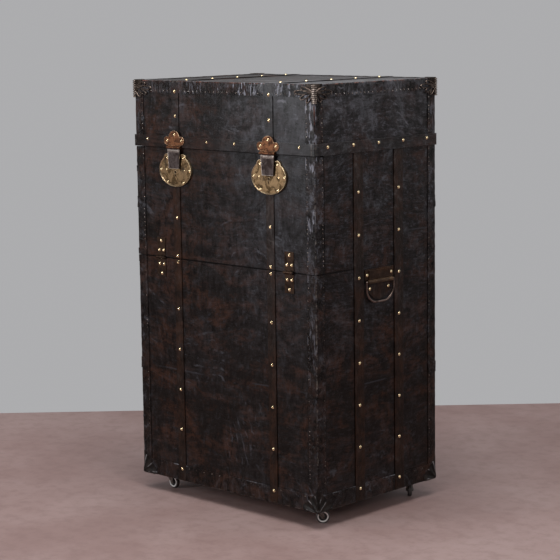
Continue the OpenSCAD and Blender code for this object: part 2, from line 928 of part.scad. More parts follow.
module flap_front_board() {
    color(WOOD) in_case() difference() {
        span(-inner_x, inner_x, -board_y, -inner_y, flap_bottom, flap_top);
        above_flap();
    }
}

module flap_return_boards() {
    color(WOOD) in_case() difference() {
        both_sides() span(inner_x, board_x, -board_y, -half_d + return_d, flap_bottom, flap_top);
        above_flap();
    }
}

module flap_leather() {
    color(LEATHER) in_case() difference() {
        span(-half_w, half_w, -half_d, -half_d + return_d, flap_bottom, flap_top);
        span(-board_x, board_x, -board_y, -half_d + return_d + over, flap_bottom - over, flap_top + over);
        above_flap();
    }
}

module flap_lining() {
    color(CLOTH) in_case() span(-inner_x, inner_x, -inner_y, -room_y, flap_bottom + over, flap_top - over);
}

module flap_corner_bindings() {
    color(LEATHER) in_case() difference() {
        both_sides() corner_binding(flap_bottom, flap_top);
        above_flap();
    }
}

module flap_straps() {
    color(STRAP) in_case() front_strap(flap_bottom, flap_top);
}

lock_z = joint_z - lock_drop;

module lock_outline() {
    polygon([for (a = [0 : 7.5 : 352.5]) [lock_w / 2 * cos(a), lock_h / 2 * sin(a)]]);
    for (s = [-1, 1]) translate([s * hump_side, hump_up]) circle(hump_r);
}

module keyhole() {
    translate([0, -lock_h * 0.12]) {
        circle(d = keyhole_w, $fn = 12);
        translate([-keyhole_w / 4, -keyhole_h + keyhole_w / 2])
            square([keyhole_w / 2, keyhole_h - keyhole_w / 2]);
    }
}

// Lock plate with a channel on its back, where it straddles the strap
module lock_plates() {
    channel = strap_w / 2 + loose / 2;
    color(OLD_BRASS) in_case() both_sides() on_front(strap_x, lock_z) difference() {
        linear_extrude(lock_t) difference() {
            lock_outline();
            keyhole();
        }
        span(-channel, channel, -lock_h, lock_h, -over, strap_t + 0.1);
    }
}

// Flat iron box on the inside of the flap, behind its lock plate
module lock_cases() {
    color(IRON) in_case() both_sides()
        span(strap_x - case_lock_w / 2, strap_x + case_lock_w / 2, -room_y, -room_y + case_lock_d,
             lock_z - case_lock_h / 2, lock_z + case_lock_h / 2);
}

module flap_nails() {
    color(BRASS) in_case() both_sides() {
        for (z = [flap_bottom + seam_nail - seam_gap, lower_h + nail_pitch])
            on_front(strap_x, z, strap_t) nail();
        on_front(flap_hinge_x, lower_h, leaf_t) leaf_nails(1);
        on_front(strap_x, lock_z, lock_t) for (s = [-1, 1]) {
            translate([s * hump_side, hump_up, 0]) nail();
            translate([s * lock_nail_side, 0, 0]) nail();
            translate([s * hump_side, -lock_nail_low, 0]) nail();
            translate([s * rivet_side, 0, 0]) nail(rivet_d, nail_head * 0.7);
        }
    }
}

// Casters. Places are counted from the floor, and a fork's wheel trails along its X axis.

caster_x = half_w - caster_in_x;
caster_back = case_y + half_d - caster_in_y;
caster_front = case_y - half_d + caster_in_y;
CASTER_AT = [
    [-caster_x, caster_front], [caster_x, caster_front],
    [-caster_x, caster_back], [caster_x, caster_back]
];

module at_casters() {
    for (at = CASTER_AT) translate([at[0], at[1], 0]) children();
}

module at_fork(i) {
    translate([CASTER_AT[i][0], CASTER_AT[i][1], 0]) rotate(caster_yaw[i]) children();
}

module caster_plates() {
    side = caster_plate / 2;
    race_r = caster_plate / 2 - 7;
    color(STEEL) at_casters() difference() {
        union() {
            span(-side, side, -side, side, plate_z, ground_gap);
            translate([0, 0, race_z]) cylinder(r1 = race_r - 1, r2 = race_r, h = race_h + over / 2);
        }
        translate([0, 0, race_z - over]) cylinder(d = kingpin_d + 2 * running, h = ground_gap);
    }
}

module caster_screws() {
    at = caster_plate / 2 - 4.5;
    color(STEEL) at_casters() for (x = [-at, at]) for (y = [-at, at])
        translate([x, y, plate_z]) mirror([0, 0, 1]) nail(6, 1.6, caster_plate_t + base_t * 0.7);
}

module caster_kingpins() {
    head_top = crown_z - loose;
    head_t = 1.2;
    color(STEEL) at_casters() {
        translate([0, 0, head_top - head_t]) cylinder(d = kingpin_d, h = ground_gap - head_top + head_t);
        translate([0, 0, head_top - head_t]) cylinder(d = kingpin_d + 4, h = head_t);
    }
}

module caster_fork() {
    half_in = wheel_w / 2 + loose + 0.2;
    half_out = half_in + leg_t;
    boss_r = axle_d / 2 + 2.4;
    crown_r = 12;
    difference() {
        union() {
            translate([0, 0, crown_z]) cylinder(r = crown_r, h = crown_t);
            span(-crown_r + 2, crown_r - 1, -half_out, half_out, crown_z, crown_z + crown_t);
            for (y0 = [-half_out, half_in])
                translate([0, y0 + leg_t, 0]) rotate([90, 0, 0]) linear_extrude(leg_t) {
                polygon([[-crown_r + 2, crown_z + crown_t], [crown_r - 1, crown_z + crown_t],
                         [trail + boss_r, axle_z], [trail - boss_r, axle_z]]);
                translate([trail, axle_z]) circle(boss_r);
            }
        }
        cylinder(d = kingpin_d + 2 * running, h = ground_gap);
        translate([trail, 2 * half_out, axle_z]) rotate([90, 0, 0])
            cylinder(d = axle_d + 2 * running, h = 4 * half_out);
    }
    // Riveted axle
    translate([trail, 0, axle_z]) rotate([90, 0, 0]) {
        cylinder(d = axle_d, h = 2 * half_out + 2, center = true);
        for (s = [-1, 1]) translate([0, 0, s * (half_out + 0.6)])
            cylinder(d = axle_d + 3, h = 1.2, center = true);
    }
}

module caster_fork_front_left() {
    color(CHROME) at_fork(0) caster_fork();
}

module caster_fork_front_right() {
    color(CHROME) at_fork(1) caster_fork();
}

module caster_fork_back_left() {
    color(CHROME) at_fork(2) caster_fork();
}

module caster_fork_back_right() {
    color(CHROME) at_fork(3) caster_fork();
}

// Wheel with a hub boss, a sunk web and a raised ring on each face
module caster_wheel() {
    r = wheel_d / 2;
    h = wheel_w / 2;
    bore = axle_d / 2 + running;
    half = [[bore, h], [r * 0.32, h], [r * 0.36, h - 1.4], [r * 0.64, h - 1.4], [r * 0.68, h - 0.3],
            [r * 0.86, h - 0.3], [r * 0.92, h - 1], [r, h - 2]];
    rest = [for (i = [len(half) - 1 : -1 : 0]) [half[i][0], -half[i][1]]];
    translate([trail, 0, axle_z]) rotate([90, 0, 0]) rotate_extrude() polygon(concat(half, rest));
}

module caster_wheel_front_left() {
    color(CHROME) at_fork(0) caster_wheel();
}

module caster_wheel_front_right() {
    color(CHROME) at_fork(1) caster_wheel();
}

module caster_wheel_back_left() {
    color(CHROME) at_fork(2) caster_wheel();
}

module caster_wheel_back_right() {
    color(CHROME) at_fork(3) caster_wheel();
}

base_board();
floor_lining();
side_panel_left();
side_panel_right();
back_panel();
front_panel();
body_leather();
body_lining();
body_bindings();
bottom_corner_caps();
lower_front_straps();
back_straps();
side_strips();
body_nails();
handle_tabs();
handle_backings();
flap_hinge_lower_leaves();
flap_hinge_pins();
lid_hinge_lower_leaves();
lid_hinge_pins();
garment_rail();
rail_sockets();
caster_plates();
caster_screws();
caster_kingpins();
lid_top_board();
lid_wall_boards();
lid_leather();
lid_lining();
lid_lip();
lid_rim_band();
lid_bindings();
top_corner_caps();
lid_straps();
lid_nails();
hasp_plates();
hasp_pins();
lid_hinge_upper_leaves();
flap_front_board();
flap_return_boards();
flap_leather();
flap_lining();
flap_corner_bindings();
flap_straps();
flap_nails();
lock_plates();
lock_cases();
flap_hinge_upper_leaves();
hasp_tongue_left();
hasp_tongue_right();
handle_ring_left();
handle_ring_right();
caster_fork_front_left();
caster_fork_front_right();
caster_fork_back_left();
caster_fork_back_right();
caster_wheel_front_left();
caster_wheel_front_right();
caster_wheel_back_left();
caster_wheel_back_right();
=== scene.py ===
# %% [markdown]
# # Wardrobe trunk
#
# A tall travelling trunk covered in old, nearly black leather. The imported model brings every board, hinge and
# caster in its true place. This notebook dresses it: leather, bindings, straps, tacks, lock plates and finishes.

import json
from math import atan2, cos, hypot, pi, radians, sin

import bmesh
import bpy
import numpy as np
from mathutils import Matrix, Vector


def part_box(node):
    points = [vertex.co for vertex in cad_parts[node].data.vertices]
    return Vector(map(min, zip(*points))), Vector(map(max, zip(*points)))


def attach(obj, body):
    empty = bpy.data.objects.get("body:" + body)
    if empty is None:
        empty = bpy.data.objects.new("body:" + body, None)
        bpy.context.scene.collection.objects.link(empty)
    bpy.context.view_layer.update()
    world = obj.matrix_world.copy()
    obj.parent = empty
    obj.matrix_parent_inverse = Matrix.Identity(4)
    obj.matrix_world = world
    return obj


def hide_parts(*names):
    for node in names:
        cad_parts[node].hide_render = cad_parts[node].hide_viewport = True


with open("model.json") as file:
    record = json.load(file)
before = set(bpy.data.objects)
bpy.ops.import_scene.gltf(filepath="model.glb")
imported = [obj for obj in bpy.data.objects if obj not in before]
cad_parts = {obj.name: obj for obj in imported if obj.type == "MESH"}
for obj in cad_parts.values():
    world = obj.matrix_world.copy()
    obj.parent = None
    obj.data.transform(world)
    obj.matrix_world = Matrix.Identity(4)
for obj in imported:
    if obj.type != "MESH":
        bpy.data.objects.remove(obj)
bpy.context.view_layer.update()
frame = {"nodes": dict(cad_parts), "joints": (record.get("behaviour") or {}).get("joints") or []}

# %% [markdown]
# ## Where things are
#
# The leather case is a plain box, so almost every place can be given in millimetres from its own middle and its
# bottom edge. One helper turns such a place into the frame's metres, and one turns it back. The sizes are read from
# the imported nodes, so they can't drift from the model. The strips of leather are placed here too, because both the
# pieces and the grime in the leather's finish need their edges.

# %% Places on the case
MM = 0.001
BODY_LOW, BODY_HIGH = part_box("body_leather")
LID_LOW, LID_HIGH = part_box("lid_leather")
FLAP_LOW, FLAP_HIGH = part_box("flap_leather")
CENTRE_Y = (BODY_LOW.y + BODY_HIGH.y) / 2
FLOOR_GAP = BODY_LOW.z
HALF_W = BODY_HIGH.x / MM
HALF_D = (BODY_HIGH.y - CENTRE_Y) / MM
JOINT = (BODY_HIGH.z - FLOOR_GAP) / MM
TOP = (LID_HIGH.z - FLOOR_GAP) / MM
SEAM_GAP = 0.75
SEAM = (FLAP_LOW.z - FLOOR_GAP) / MM - SEAM_GAP
FRONT_TOP, FLAP_FOOT = SEAM - SEAM_GAP, SEAM + SEAM_GAP
FLAP_TOP = (FLAP_HIGH.z - FLOOR_GAP) / MM
LID_BOTTOM = (LID_LOW.z - FLOOR_GAP) / MM
BAND_TOP = LID_BOTTOM + 27
RETURN_Y = -HALF_D + 29
POST_Y = RETURN_Y + 1
BINDING_W, BINDING_T, FOOT_H = 27, 1.3, 38
STRAP_X, STRAP_W, STRAP_T = 153, 24, 2.2
STRAP_EDGES = (STRAP_X - STRAP_W / 2, STRAP_X + STRAP_W / 2)
STRIP_PLACES, STRIP_HALF = (142, 282), 16
STRIP_EDGES = [middle + end * STRIP_HALF for middle in STRIP_PLACES for end in (-1, 1)]


def place(x, y, z):
    """A place on the case in mm, from its middle and its bottom edge, as a place in the frame in metres."""
    return Vector((x * MM, y * MM + CENTRE_Y, z * MM + FLOOR_GAP))


def on_case(point):
    """A place in the frame in metres, as a place on the case in mm."""
    return Vector((point.x / MM, (point.y - CENTRE_Y) / MM, (point.z - FLOOR_GAP) / MM))


print("case %.0f x %.0f x %.0f mm, lid joint at %.1f mm" % (2 * HALF_W, 2 * HALF_D, TOP, JOINT))

# %% [markdown]
# ## Small tools for modelling
#
# These wrap the operators that are used again and again: start from a primitive, open it in edit mode with nothing
# selected, pick faces by their place, slice it across, give it a wall. The operators act on whatever is selected, so
# each helper first clears the selection.

# %% Modelling helpers
def only(obj):
    """Selects this object alone and makes it the active one."""
    bpy.ops.object.select_all(action="DESELECT")
    obj.select_set(True)
    bpy.context.view_layer.objects.active = obj
    return obj


def settle(obj):
    """Moves the object's place, turn and scale into its mesh."""
    only(obj)
    bpy.ops.object.transform_apply(location=True, rotation=True, scale=True)
    return obj


def block(name, low, high):
    """A cube primitive that fills the box between two places on the case."""
    a, b = place(*low), place(*high)
    bpy.ops.object.select_all(action="DESELECT")
    bpy.ops.mesh.primitive_cube_add(size=1, location=(a + b) / 2, scale=b - a)
    bpy.context.object.name = name
    return settle(bpy.context.object)


def painted(obj, *finishes):
    """Gives a part its own finishes, where a piece is joined from parts that differ."""
    for finish in finishes:
        obj.data.materials.append(finish)
    return obj


def modify(obj, kind, **settings):
    """Adds a modifier and applies it."""
    only(obj)
    modifier = obj.modifiers.new(kind.title(), kind)
    for key, value in settings.items():
        setattr(modifier, key, value)
    bpy.ops.object.modifier_apply(modifier=modifier.name)
    return obj


class editing:
    """Opens a piece in edit mode with nothing selected, and closes it again."""

    def __init__(self, obj, mode="FACE"):
        self.obj, self.mode = obj, mode

    def __enter__(self):
        only(self.obj)
        bpy.ops.object.mode_set(mode="EDIT")
        bpy.ops.mesh.select_mode(type=self.mode)
        bpy.ops.mesh.select_all(action="DESELECT")
        return self

    def __exit__(self, *error):
        bpy.ops.object.mode_set(mode="OBJECT")

    def pick(self, test):
        """Selects the elements whose middle, in mm on the case, and normal pass the test."""
        mesh = bmesh.from_edit_mesh(self.obj.data)
        parts = {"FACE": mesh.faces, "EDGE": mesh.edges, "VERT": mesh.verts}[self.mode]
        count = 0
        for part in parts:
            if self.mode == "FACE":
                middle, normal = part.calc_center_median(), part.normal
            elif self.mode == "EDGE":
                middle = (part.verts[0].co + part.verts[1].co) / 2
                normal = (part.verts[1].co - part.verts[0].co).normalized()
            else:
                middle, normal = part.co, part.normal
            if test(on_case(middle), normal):
                part.select_set(True)
                count += 1
        mesh.select_flush_mode()
        bmesh.update_edit_mesh(self.obj.data)
        return count


def remove_faces(obj, test):
    """Deletes the faces that pass the test."""
    with editing(obj) as edit:
        if edit.pick(test):
            bpy.ops.mesh.delete(type="FACE")
    return obj


def cut_at(obj, axis, *places):
    """Cuts the whole piece across at these places along X, Y or Z, in mm on the case."""
    normal = [float(i == axis) for i in range(3)]
    with editing(obj):
        for value in places:
            point = [0.0, 0.0, 0.0]
            point[axis] = value
            bpy.ops.mesh.select_all(action="SELECT")
            bpy.ops.mesh.bisect(plane_co=place(*point), plane_no=normal)
    return obj


def slices(low, high, step):
    """Even places between two ends, about a step apart."""
    count = max(1, round((high - low) / step))
    return [low + (high - low) * i / count for i in range(1, count)]


def ripple(obj, depth, grain, seed=0.0):
    """Moves the surface in and out a little, as hand-laid leather lies."""
    texture = bpy.data.textures.new(obj.name + "_ripple", "CLOUDS")
    texture.noise_scale = grain * MM
    texture.noise_depth = 2
    empty = bpy.data.objects.new(obj.name + "_ripple_at", None)
    bpy.context.scene.collection.objects.link(empty)
    empty.location = (seed, seed * 0.7, -seed)
    bpy.context.view_layer.update()
    modify(obj, "DISPLACE", texture=texture, strength=depth * MM, mid_level=0.5, texture_coords="OBJECT",
           texture_coords_object=empty)
    bpy.data.objects.remove(empty)
    return obj


def walled(obj, thickness):
    """Gives a skin its wall, inwards from the face that shows."""
    with editing(obj):
        bpy.ops.mesh.select_all(action="SELECT")
        bpy.ops.mesh.normals_make_consistent(inside=False)
    return modify(obj, "SOLIDIFY", thickness=thickness * MM, offset=-1, use_even_offset=True)


def softened(obj, width, segments=2, angle=35):
    """Rounds the sharp edges."""
    return modify(obj, "BEVEL", width=width * MM, segments=segments, limit_method="ANGLE",
                  angle_limit=radians(angle), use_clamp_overlap=True)


def dressed(obj, finish, body, *nodes, angle=40):
    """Finishes a piece: smooth shading, material, the body it rides on and the nodes it stands for."""
    only(obj)
    bpy.ops.object.shade_smooth_by_angle(angle=radians(angle))
    modify(obj, "WEIGHTED_NORMAL", keep_sharp=True, weight=50)
    if not obj.data.materials:
        obj.data.materials.append(finish)
    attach(obj, body)
    if nodes:
        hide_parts(*nodes)
    return obj


def joined(name, parts):
    """Joins several pieces into one object."""
    bpy.ops.object.select_all(action="DESELECT")
    for part in parts:
        part.select_set(True)
    bpy.context.view_layer.objects.active = parts[0]
    if len(parts) > 1:
        bpy.ops.object.join()
    parts[0].name = name
    return parts[0]


def twin(obj, axis=0):
    """A mirrored copy across the middle of the case, with its normals turned out again."""
    only(obj)
    bpy.ops.object.duplicate()
    copy = bpy.context.object
    flip = Matrix.Diagonal([-1.0 if i == axis else 1.0 for i in range(4)])
    middle = Vector((0, CENTRE_Y, 0))
    copy.data.transform(Matrix.Translation(middle) @ flip @ Matrix.Translation(-middle))
    with editing(copy):
        bpy.ops.mesh.select_all(action="SELECT")
        bpy.ops.mesh.flip_normals()
    return copy


# %% [markdown]
# ## Shader maths
#
# A material is a graph of nodes, but its logic is arithmetic: masks are multiplied, heights are added. One small
# class wraps a socket, so that `1 - mask` or `a * b` adds the Math node. Everything else goes through one method
# that takes a node's type, its settings and what feeds its sockets. The world is such a graph too.

# %% The graph classes
class Wire:
    """The value on one socket of a graph, with arithmetic."""

    def __init__(self, graph, socket):
        self.graph, self.socket = graph, socket

    def maths(self, operation, *terms):
        return self.graph.node("ShaderNodeMath", {"operation": operation}, dict(enumerate(terms)))

    def __add__(self, other):
        return self.maths("ADD", self, other)

    __radd__ = __add__

    def __sub__(self, other):
        return self.maths("SUBTRACT", self, other)

    def __rsub__(self, other):
        return self.maths("SUBTRACT", other, self)

    def __mul__(self, other):
        return self.maths("MULTIPLY", self, other)

    __rmul__ = __mul__

    def __pow__(self, other):
        return self.maths("POWER", self, other)

    def __abs__(self):
        return self.maths("ABSOLUTE", self)

    def least(self, other):
        return self.maths("MINIMUM", self, other)

    def most(self, other):
        return self.maths("MAXIMUM", self, other)

    def sine(self):
        return self.maths("SINE", self)

    def fade(self, start, end):
        """0 at start and 1 at end, smoothly between."""
        return self.graph.node("ShaderNodeMapRange", {"interpolation_type": "SMOOTHSTEP"},
                               {"Value": self, "From Min": start, "From Max": end})


class Graph:
    """The nodes of a material or of the world."""

    def __init__(self, owner):
        owner.use_nodes = True
        self.tree = owner.node_tree

    def node(self, kind, settings=None, sockets=None, out=0):
        """Adds a node, sets it up, feeds its sockets and returns one of its outputs."""
        made = self.tree.nodes.new(kind)
        for key, value in (settings or {}).items():
            setattr(made, key, value)
        for key, value in (sockets or {}).items():
            self.feed(made.inputs[key], value)
        return Wire(self, made.outputs[out])

    def feed(self, socket, value):
        """Links a wire to the socket, or sets a constant on it."""
        if isinstance(value, Wire):
            self.tree.links.new(value.socket, socket)
        elif isinstance(value, (tuple, list)) and len(value) == 3 and len(socket.default_value) == 4:
            socket.default_value = tuple(value) + (1.0,)
        else:
            socket.default_value = value

    def blend(self, mask, low, high):
        """A colour between two, by a mask."""
        return self.node("ShaderNodeMix", {"data_type": "RGBA"}, {0: mask, 6: low, 7: high}, 2)


print("graph classes ready")

# %% The finish class
class Finish(Graph):
    """One material: a Principled shader and the nodes that feed it."""

    def __init__(self, name):
        self.material = bpy.data.materials.new(name)
        super().__init__(self.material)
        self.shader = self.tree.nodes["Principled BSDF"]
        self.at = self.node("ShaderNodeTexCoord", out="Object")

    def stretched(self, x, y, z, shift=(0, 0, 0)):
        """The place on the object, scaled along each axis."""
        return self.node("ShaderNodeMapping", None, {"Vector": self.at, "Scale": (x, y, z), "Location": shift})

    def warped(self, amount, scale, *stretch):
        """The place on the object, pushed about by a slow noise and then scaled along each axis."""
        drift = self.node("ShaderNodeTexNoise", None, {"Vector": self.at, "Scale": scale, "Detail": 1.0}, 1)
        pushed = self.node("ShaderNodeVectorMath", {"operation": "MULTIPLY_ADD"},
                           {0: drift, 1: (amount,) * 3, 2: self.at})
        return self.node("ShaderNodeMapping", None, {"Vector": pushed, "Scale": stretch})

    def noise(self, scale, detail=4.0, rough=0.55, at=None, twist=0.0):
        return self.node("ShaderNodeTexNoise", None, {"Vector": at or self.at, "Scale": scale, "Detail": detail,
                                                      "Roughness": rough, "Distortion": twist})

    def cell_walls(self, scale, at=None):
        """How far a point lies from the wall between two cells, as pores and creases are spread."""
        return self.node("ShaderNodeTexVoronoi", {"feature": "DISTANCE_TO_EDGE"},
                         {"Vector": at or self.at, "Scale": scale})

    def axes(self):
        """The place on the object as three wires."""
        split = self.node("ShaderNodeSeparateXYZ", None, {0: self.at})
        return [Wire(self, output) for output in split.socket.node.outputs]

    def bump(self, height, depth, strength=1.0):
        """A height in mm as a change of normal."""
        return self.node("ShaderNodeBump", None, {"Height": height, "Distance": depth * MM, "Strength": strength})

    def done(self, **sockets):
        """Feeds the shader and returns the material."""
        names = {"colour": "Base Color", "rough": "Roughness", "metal": "Metallic", "normal": "Normal",
                 "coat": "Coat Weight", "coat_rough": "Coat Roughness", "specular": "Specular IOR Level",
                 "sheen": "Sheen Weight"}
        for key, value in sockets.items():
            self.feed(self.shader.inputs[names[key]], value)
        return self.material


print("finish class ready")

# %% [markdown]
# ## Old leather
#
# The leather was dyed nearly black and has worn for decades. Three things lie over each other: a red brown hide
# that shows through in soft patches, a bluish grey film of old wax that the brush left in long strokes, and dry pale
# scuffs where the hide stands out, along the edges of the box. The film is painted thicker and paler towards the top
# and the right, most on the front, as a painted sheen, and the scuffs are painted brighter there too. The strokes run
# across the panels, so the pattern is squeezed along one axis, and a slow noise pushes it about so that it never lies
# straight. Pores, wrinkles and strokes are also heights, because at a low angle the light reads them. Along the edges
# of the straps, strips and bindings and along the flap's seam, black lines are painted shade.

# %% Edges and seams as masks
def height_at(mm):
    """A height on the case in mm, as a height in the frame in metres."""
    return mm * MM + FLOOR_GAP


def box_edge(finish, width, out=0.0):
    """1 on the box's own edges, falling to 0 at a width in mm. out is how far the face lies outside the box."""
    x, y, z = finish.axes()
    from_side = (HALF_W + out) * MM - abs(x)
    from_front = (HALF_D + out) * MM - abs(y - CENTRE_Y)
    from_end = height_at(TOP) - z
    from_end = from_end.least(z - FLOOR_GAP)
    corner = from_side.most(from_front)
    rim = from_side.least(from_front).most(from_end)
    return corner.least(rim).fade(width * MM, 0.0)


def seam_shade(finish, reach):
    """1 along the edges of the straps, strips and bindings and along the flap's seam, where black lines of painted
    shade go.
    """
    x, y, z = finish.axes()
    wide, deep = abs(x), y - CENTRE_Y
    front = abs(wide - (HALF_W - BINDING_W) * MM)
    for line in STRAP_EDGES:
        front = front.least(abs(wide - line * MM))
    side = abs(abs(deep) - (HALF_D - BINDING_W) * MM)
    above = z.fade(height_at(JOINT), height_at(JOINT + 5))
    for line in STRIP_EDGES:
        side = side.least(abs(deep - (line - HALF_D) * MM) + above)
    on_side = wide.fade((HALF_W - 4) * MM, (HALF_W - 3) * MM)
    distance = front * (1 - on_side) + side * on_side
    groove_end = (STRIP_EDGES[0] - HALF_D) * MM
    joint = abs(z - height_at(SEAM)) + deep.fade(groove_end, groove_end + 0.002)
    return distance.least(joint).fade(reach * MM, 0.4 * MM)


def sheet_joints(finish):
    """1 along the faint lines where one sheet of hide meets the next."""
    x, y, z = finish.axes()
    all_round, sides_only = 272, (452, 612)
    wander = (finish.noise(6, 2, 0.5) - 0.5) * 0.006
    line = abs(z - height_at(all_round) + wander)
    off_side = abs(x).fade((HALF_W - 3) * MM, (HALF_W - 4) * MM)
    for joint in sides_only:
        line = line.least(abs(z - height_at(joint) + wander) + off_side)
    return line.fade(0.0026, 0.0006) * finish.noise(9, 4, 0.6).fade(0.42, 0.56)


print("masks ready for", len(STRAP_EDGES) + len(STRIP_EDGES), "edges of straps and strips")

# %% Leather finish
SHADE_BLACK = (0.0022, 0.0016, 0.0014)
GLINT, FOOT_SHINE, FOLD_SHINE = (0.22, 0.225, 0.265), (0.16, 0.165, 0.185), (0.19, 0.20, 0.235)


def shone(f, colour, z, high, lip):
    """Pale lines along the upper edge of the foot binding and up the folds of the corner bindings: partly rubbed
    wear, partly painted highlights, with the folds painted paler higher up.
    """
    foot_edge = abs(z - height_at(FOOT_H)).fade(0.0024, 0.0006) * f.noise(9, 4, 0.6).fade(0.50, 0.60)
    colour = f.blend(foot_edge * f.noise(60, 5, 0.7).fade(0.40, 0.60) * lip, colour, FOOT_SHINE)
    fold = box_edge(f, 1.4, BINDING_T) * f.noise(28, 4, 0.6).fade(0.40, 0.56) * high
    return f.blend(fold * 0.75, colour, FOLD_SHINE)


def leather(name, hide, dark, film, *, red=0.5, grey=0.5, strokes=(1, 1, 4), rough=0.38, wrinkle=0.5, wear=0.5,
            edge=7.0, scuffs=0.3, grime=0.0, glint_streaks=0.0, lip=0.0, contrast=1.0, sheen=1.0,
            frayed=(0.19, 0.165, 0.145)):
    """Dyed hide with a film of wax. hide, dark and film are the tones of the worn patches, the dye and the wax. sheen
    sets how much paler the film is painted towards the top right, a painted sheen.
    """
    f = Finish(name)
    x, y, z = f.axes()
    # Each runs from 0 to 1: up the trunk, from its left to its right, and from its side walls to its front wall.
    high, right, front = z.fade(0.15, 0.95), x.fade(-0.26, 0.27), y.fade(-0.199, -0.204)
    along = f.warped(0.10, 3.2, *strokes)
    slanted = f.node("ShaderNodeMapping", None, {"Vector": f.at, "Rotation": (radians(38), radians(-42), 0),
                                                 "Scale": (1.5, 1.5, 14)})
    # lit runs from 0 to 1 towards the top right, where the light falls brightest; the film is painted paler there as
    # a painted sheen.
    lit = high * (right * right * 0.8 + 0.2)
    cloud = f.noise(5.5, 5, 0.62, twist=0.5)
    patch = f.noise(13, 7, 0.68, at=f.stretched(1, 1, 1.3, (3.1, 1.7, 0.4)), twist=0.8)
    brushed = f.noise(10, 8, 0.72, at=along, twist=0.4)
    level = f.noise(48, 6, 0.78, at=along, twist=0.2)
    upright = f.noise(40, 5, 0.75, at=f.warped(0.08, 4.0, 2.5, 2.5, 0.6))
    fine = f.node("ShaderNodeMix", {"data_type": "FLOAT"}, {0: front * 0.35 + 0.2, 2: level, 3: upright})
    mottle = f.noise(30, 6, 0.80, at=f.warped(0.12, 5.0, 1.3, 1.3, 1.1))
    pores = f.cell_walls(900)
    creases = f.cell_walls(16, along).fade(0.06, 0.0)
    broken = f.noise(30, 4, 0.6).fade(0.48, 0.62)
    rings = f.node("ShaderNodeTexWave", {"wave_type": "RINGS", "rings_direction": "SPHERICAL"},
                   {"Vector": f.warped(0.5, 2.4, 1, 1, 1), "Scale": 11, "Distortion": 5, "Detail": 4,
                    "Detail Scale": 2}, "Fac")
    swirls = rings.fade(0.80, 1.0) * cloud.fade(0.50, 0.64) * broken

    ruddy = (1 - right) * high * front * 0.04
    warm = (patch * 0.55 + brushed * 0.45 + ruddy).fade(0.560 - 0.2 * red, 0.75 - 0.2 * red)
    wax_and_sheen = (cloud * 0.4 + brushed * 0.3 + mottle * 0.3).fade(0.57 - 0.2 * grey, 0.70 - 0.2 * grey)
    # Painted sheen: the film is painted thicker towards the top right, most on the front, by sheen.
    wax_and_sheen = (wax_and_sheen * (lit * 0.85 + 0.16) + lit * right * (front * 0.24 + 0.10) * sheen).least(1.0)
    hatched = f.noise(26, 5, 0.72, at=slanted).fade(0.56, 0.74) * f.noise(4, 3, 0.5, twist=0.3).fade(0.50, 0.62)
    scratched = f.noise(38, 3, 0.7, at=along).fade(0.62, 0.73) * cloud.fade(0.48, 0.60)
    worn = (box_edge(f, edge) * f.noise(95, 5, 0.72).fade(0.48, 0.62) * wear).least(1.0)

    pale = [min(1, c * 3.0 + 0.008) for c in film]
    colour = f.blend(warm, dark, hide)
    colour = f.blend(wax_and_sheen * 0.8, colour, film)
    colour = f.blend(mottle.fade(0.50, 0.36) * (0.8 * contrast), colour, [c * 0.35 for c in dark])
    # Painted sheen: paler flecks of film, more where lit.
    colour = f.blend(mottle.fade(0.53, 0.68) * (lit * 0.7 + 0.15) * contrast, colour, [c * 2.0 for c in film])
    colour = f.blend(fine.fade(0.53, 0.62) * (lit * 0.6 + 0.2) * contrast, colour, [c * 2.0 for c in film])
    colour = f.blend(fine.fade(0.48, 0.40) * (0.8 * contrast), colour, [c * 0.3 for c in dark])
    marks = (scratched + hatched + swirls * 1.2) * scuffs
    # The scuffs are wear, painted brighter where lit as part of the sheen.
    colour = f.blend((marks * (lit * 0.6 + 0.4)).least(1.0), colour, pale)
    # Painted highlights: crisp pale glint streaks, up high and towards the right of the front.
    if glint_streaks:
        drawn = f.noise(150, 4, 0.6, at=f.stretched(1, 1, 0.2)).fade(0.54, 0.60)
        drawn = drawn * f.noise(13, 4, 0.6).fade(0.44, 0.55)
        glint = (drawn * (right * right * front + 0.05) * high * glint_streaks).least(1.0)
        colour = f.blend(glint, colour, GLINT)
    colour = f.blend(worn, colour, frayed)
    # Painted highlights with wear: pale lines along the foot binding's edge and the corner folds; lip sets the foot
    # line's strength and turns the lines on.
    if lip:
        colour = shone(f, colour, z, high, lip)
    # Painted shade: black lines along the straps, strips, bindings and the flap's seam, where raised edges cast
    # shade. grime sets their strength, and also turns on the sheet joints.
    if grime:
        colour = f.blend(sheet_joints(f) * 0.4, colour, [c * 1.7 for c in film])
        colour = f.blend(seam_shade(f, 3.2) * grime, colour, SHADE_BLACK)
    gloss = rough + (fine - 0.5) * 0.3 + (mottle - 0.5) * 0.3 + warm * 0.08 - wax_and_sheen * 0.08
    gloss = gloss - creases * broken * 0.05
    height = (brushed - 0.5) * (1.6 * wrinkle) + (fine - 0.5) * (1.3 * wrinkle) + pores.fade(0, 0.35) * 0.05
    height = height - creases * broken * (0.45 * wrinkle) + (mottle - 0.5) * (0.8 * wrinkle)
    return f.done(colour=colour, rough=gloss.least(0.85).most(0.16), specular=0.12, coat=wax_and_sheen * 0.42,
                  coat_rough=0.28, normal=f.bump(height, 0.9, 0.95))


print("leather recipe ready")

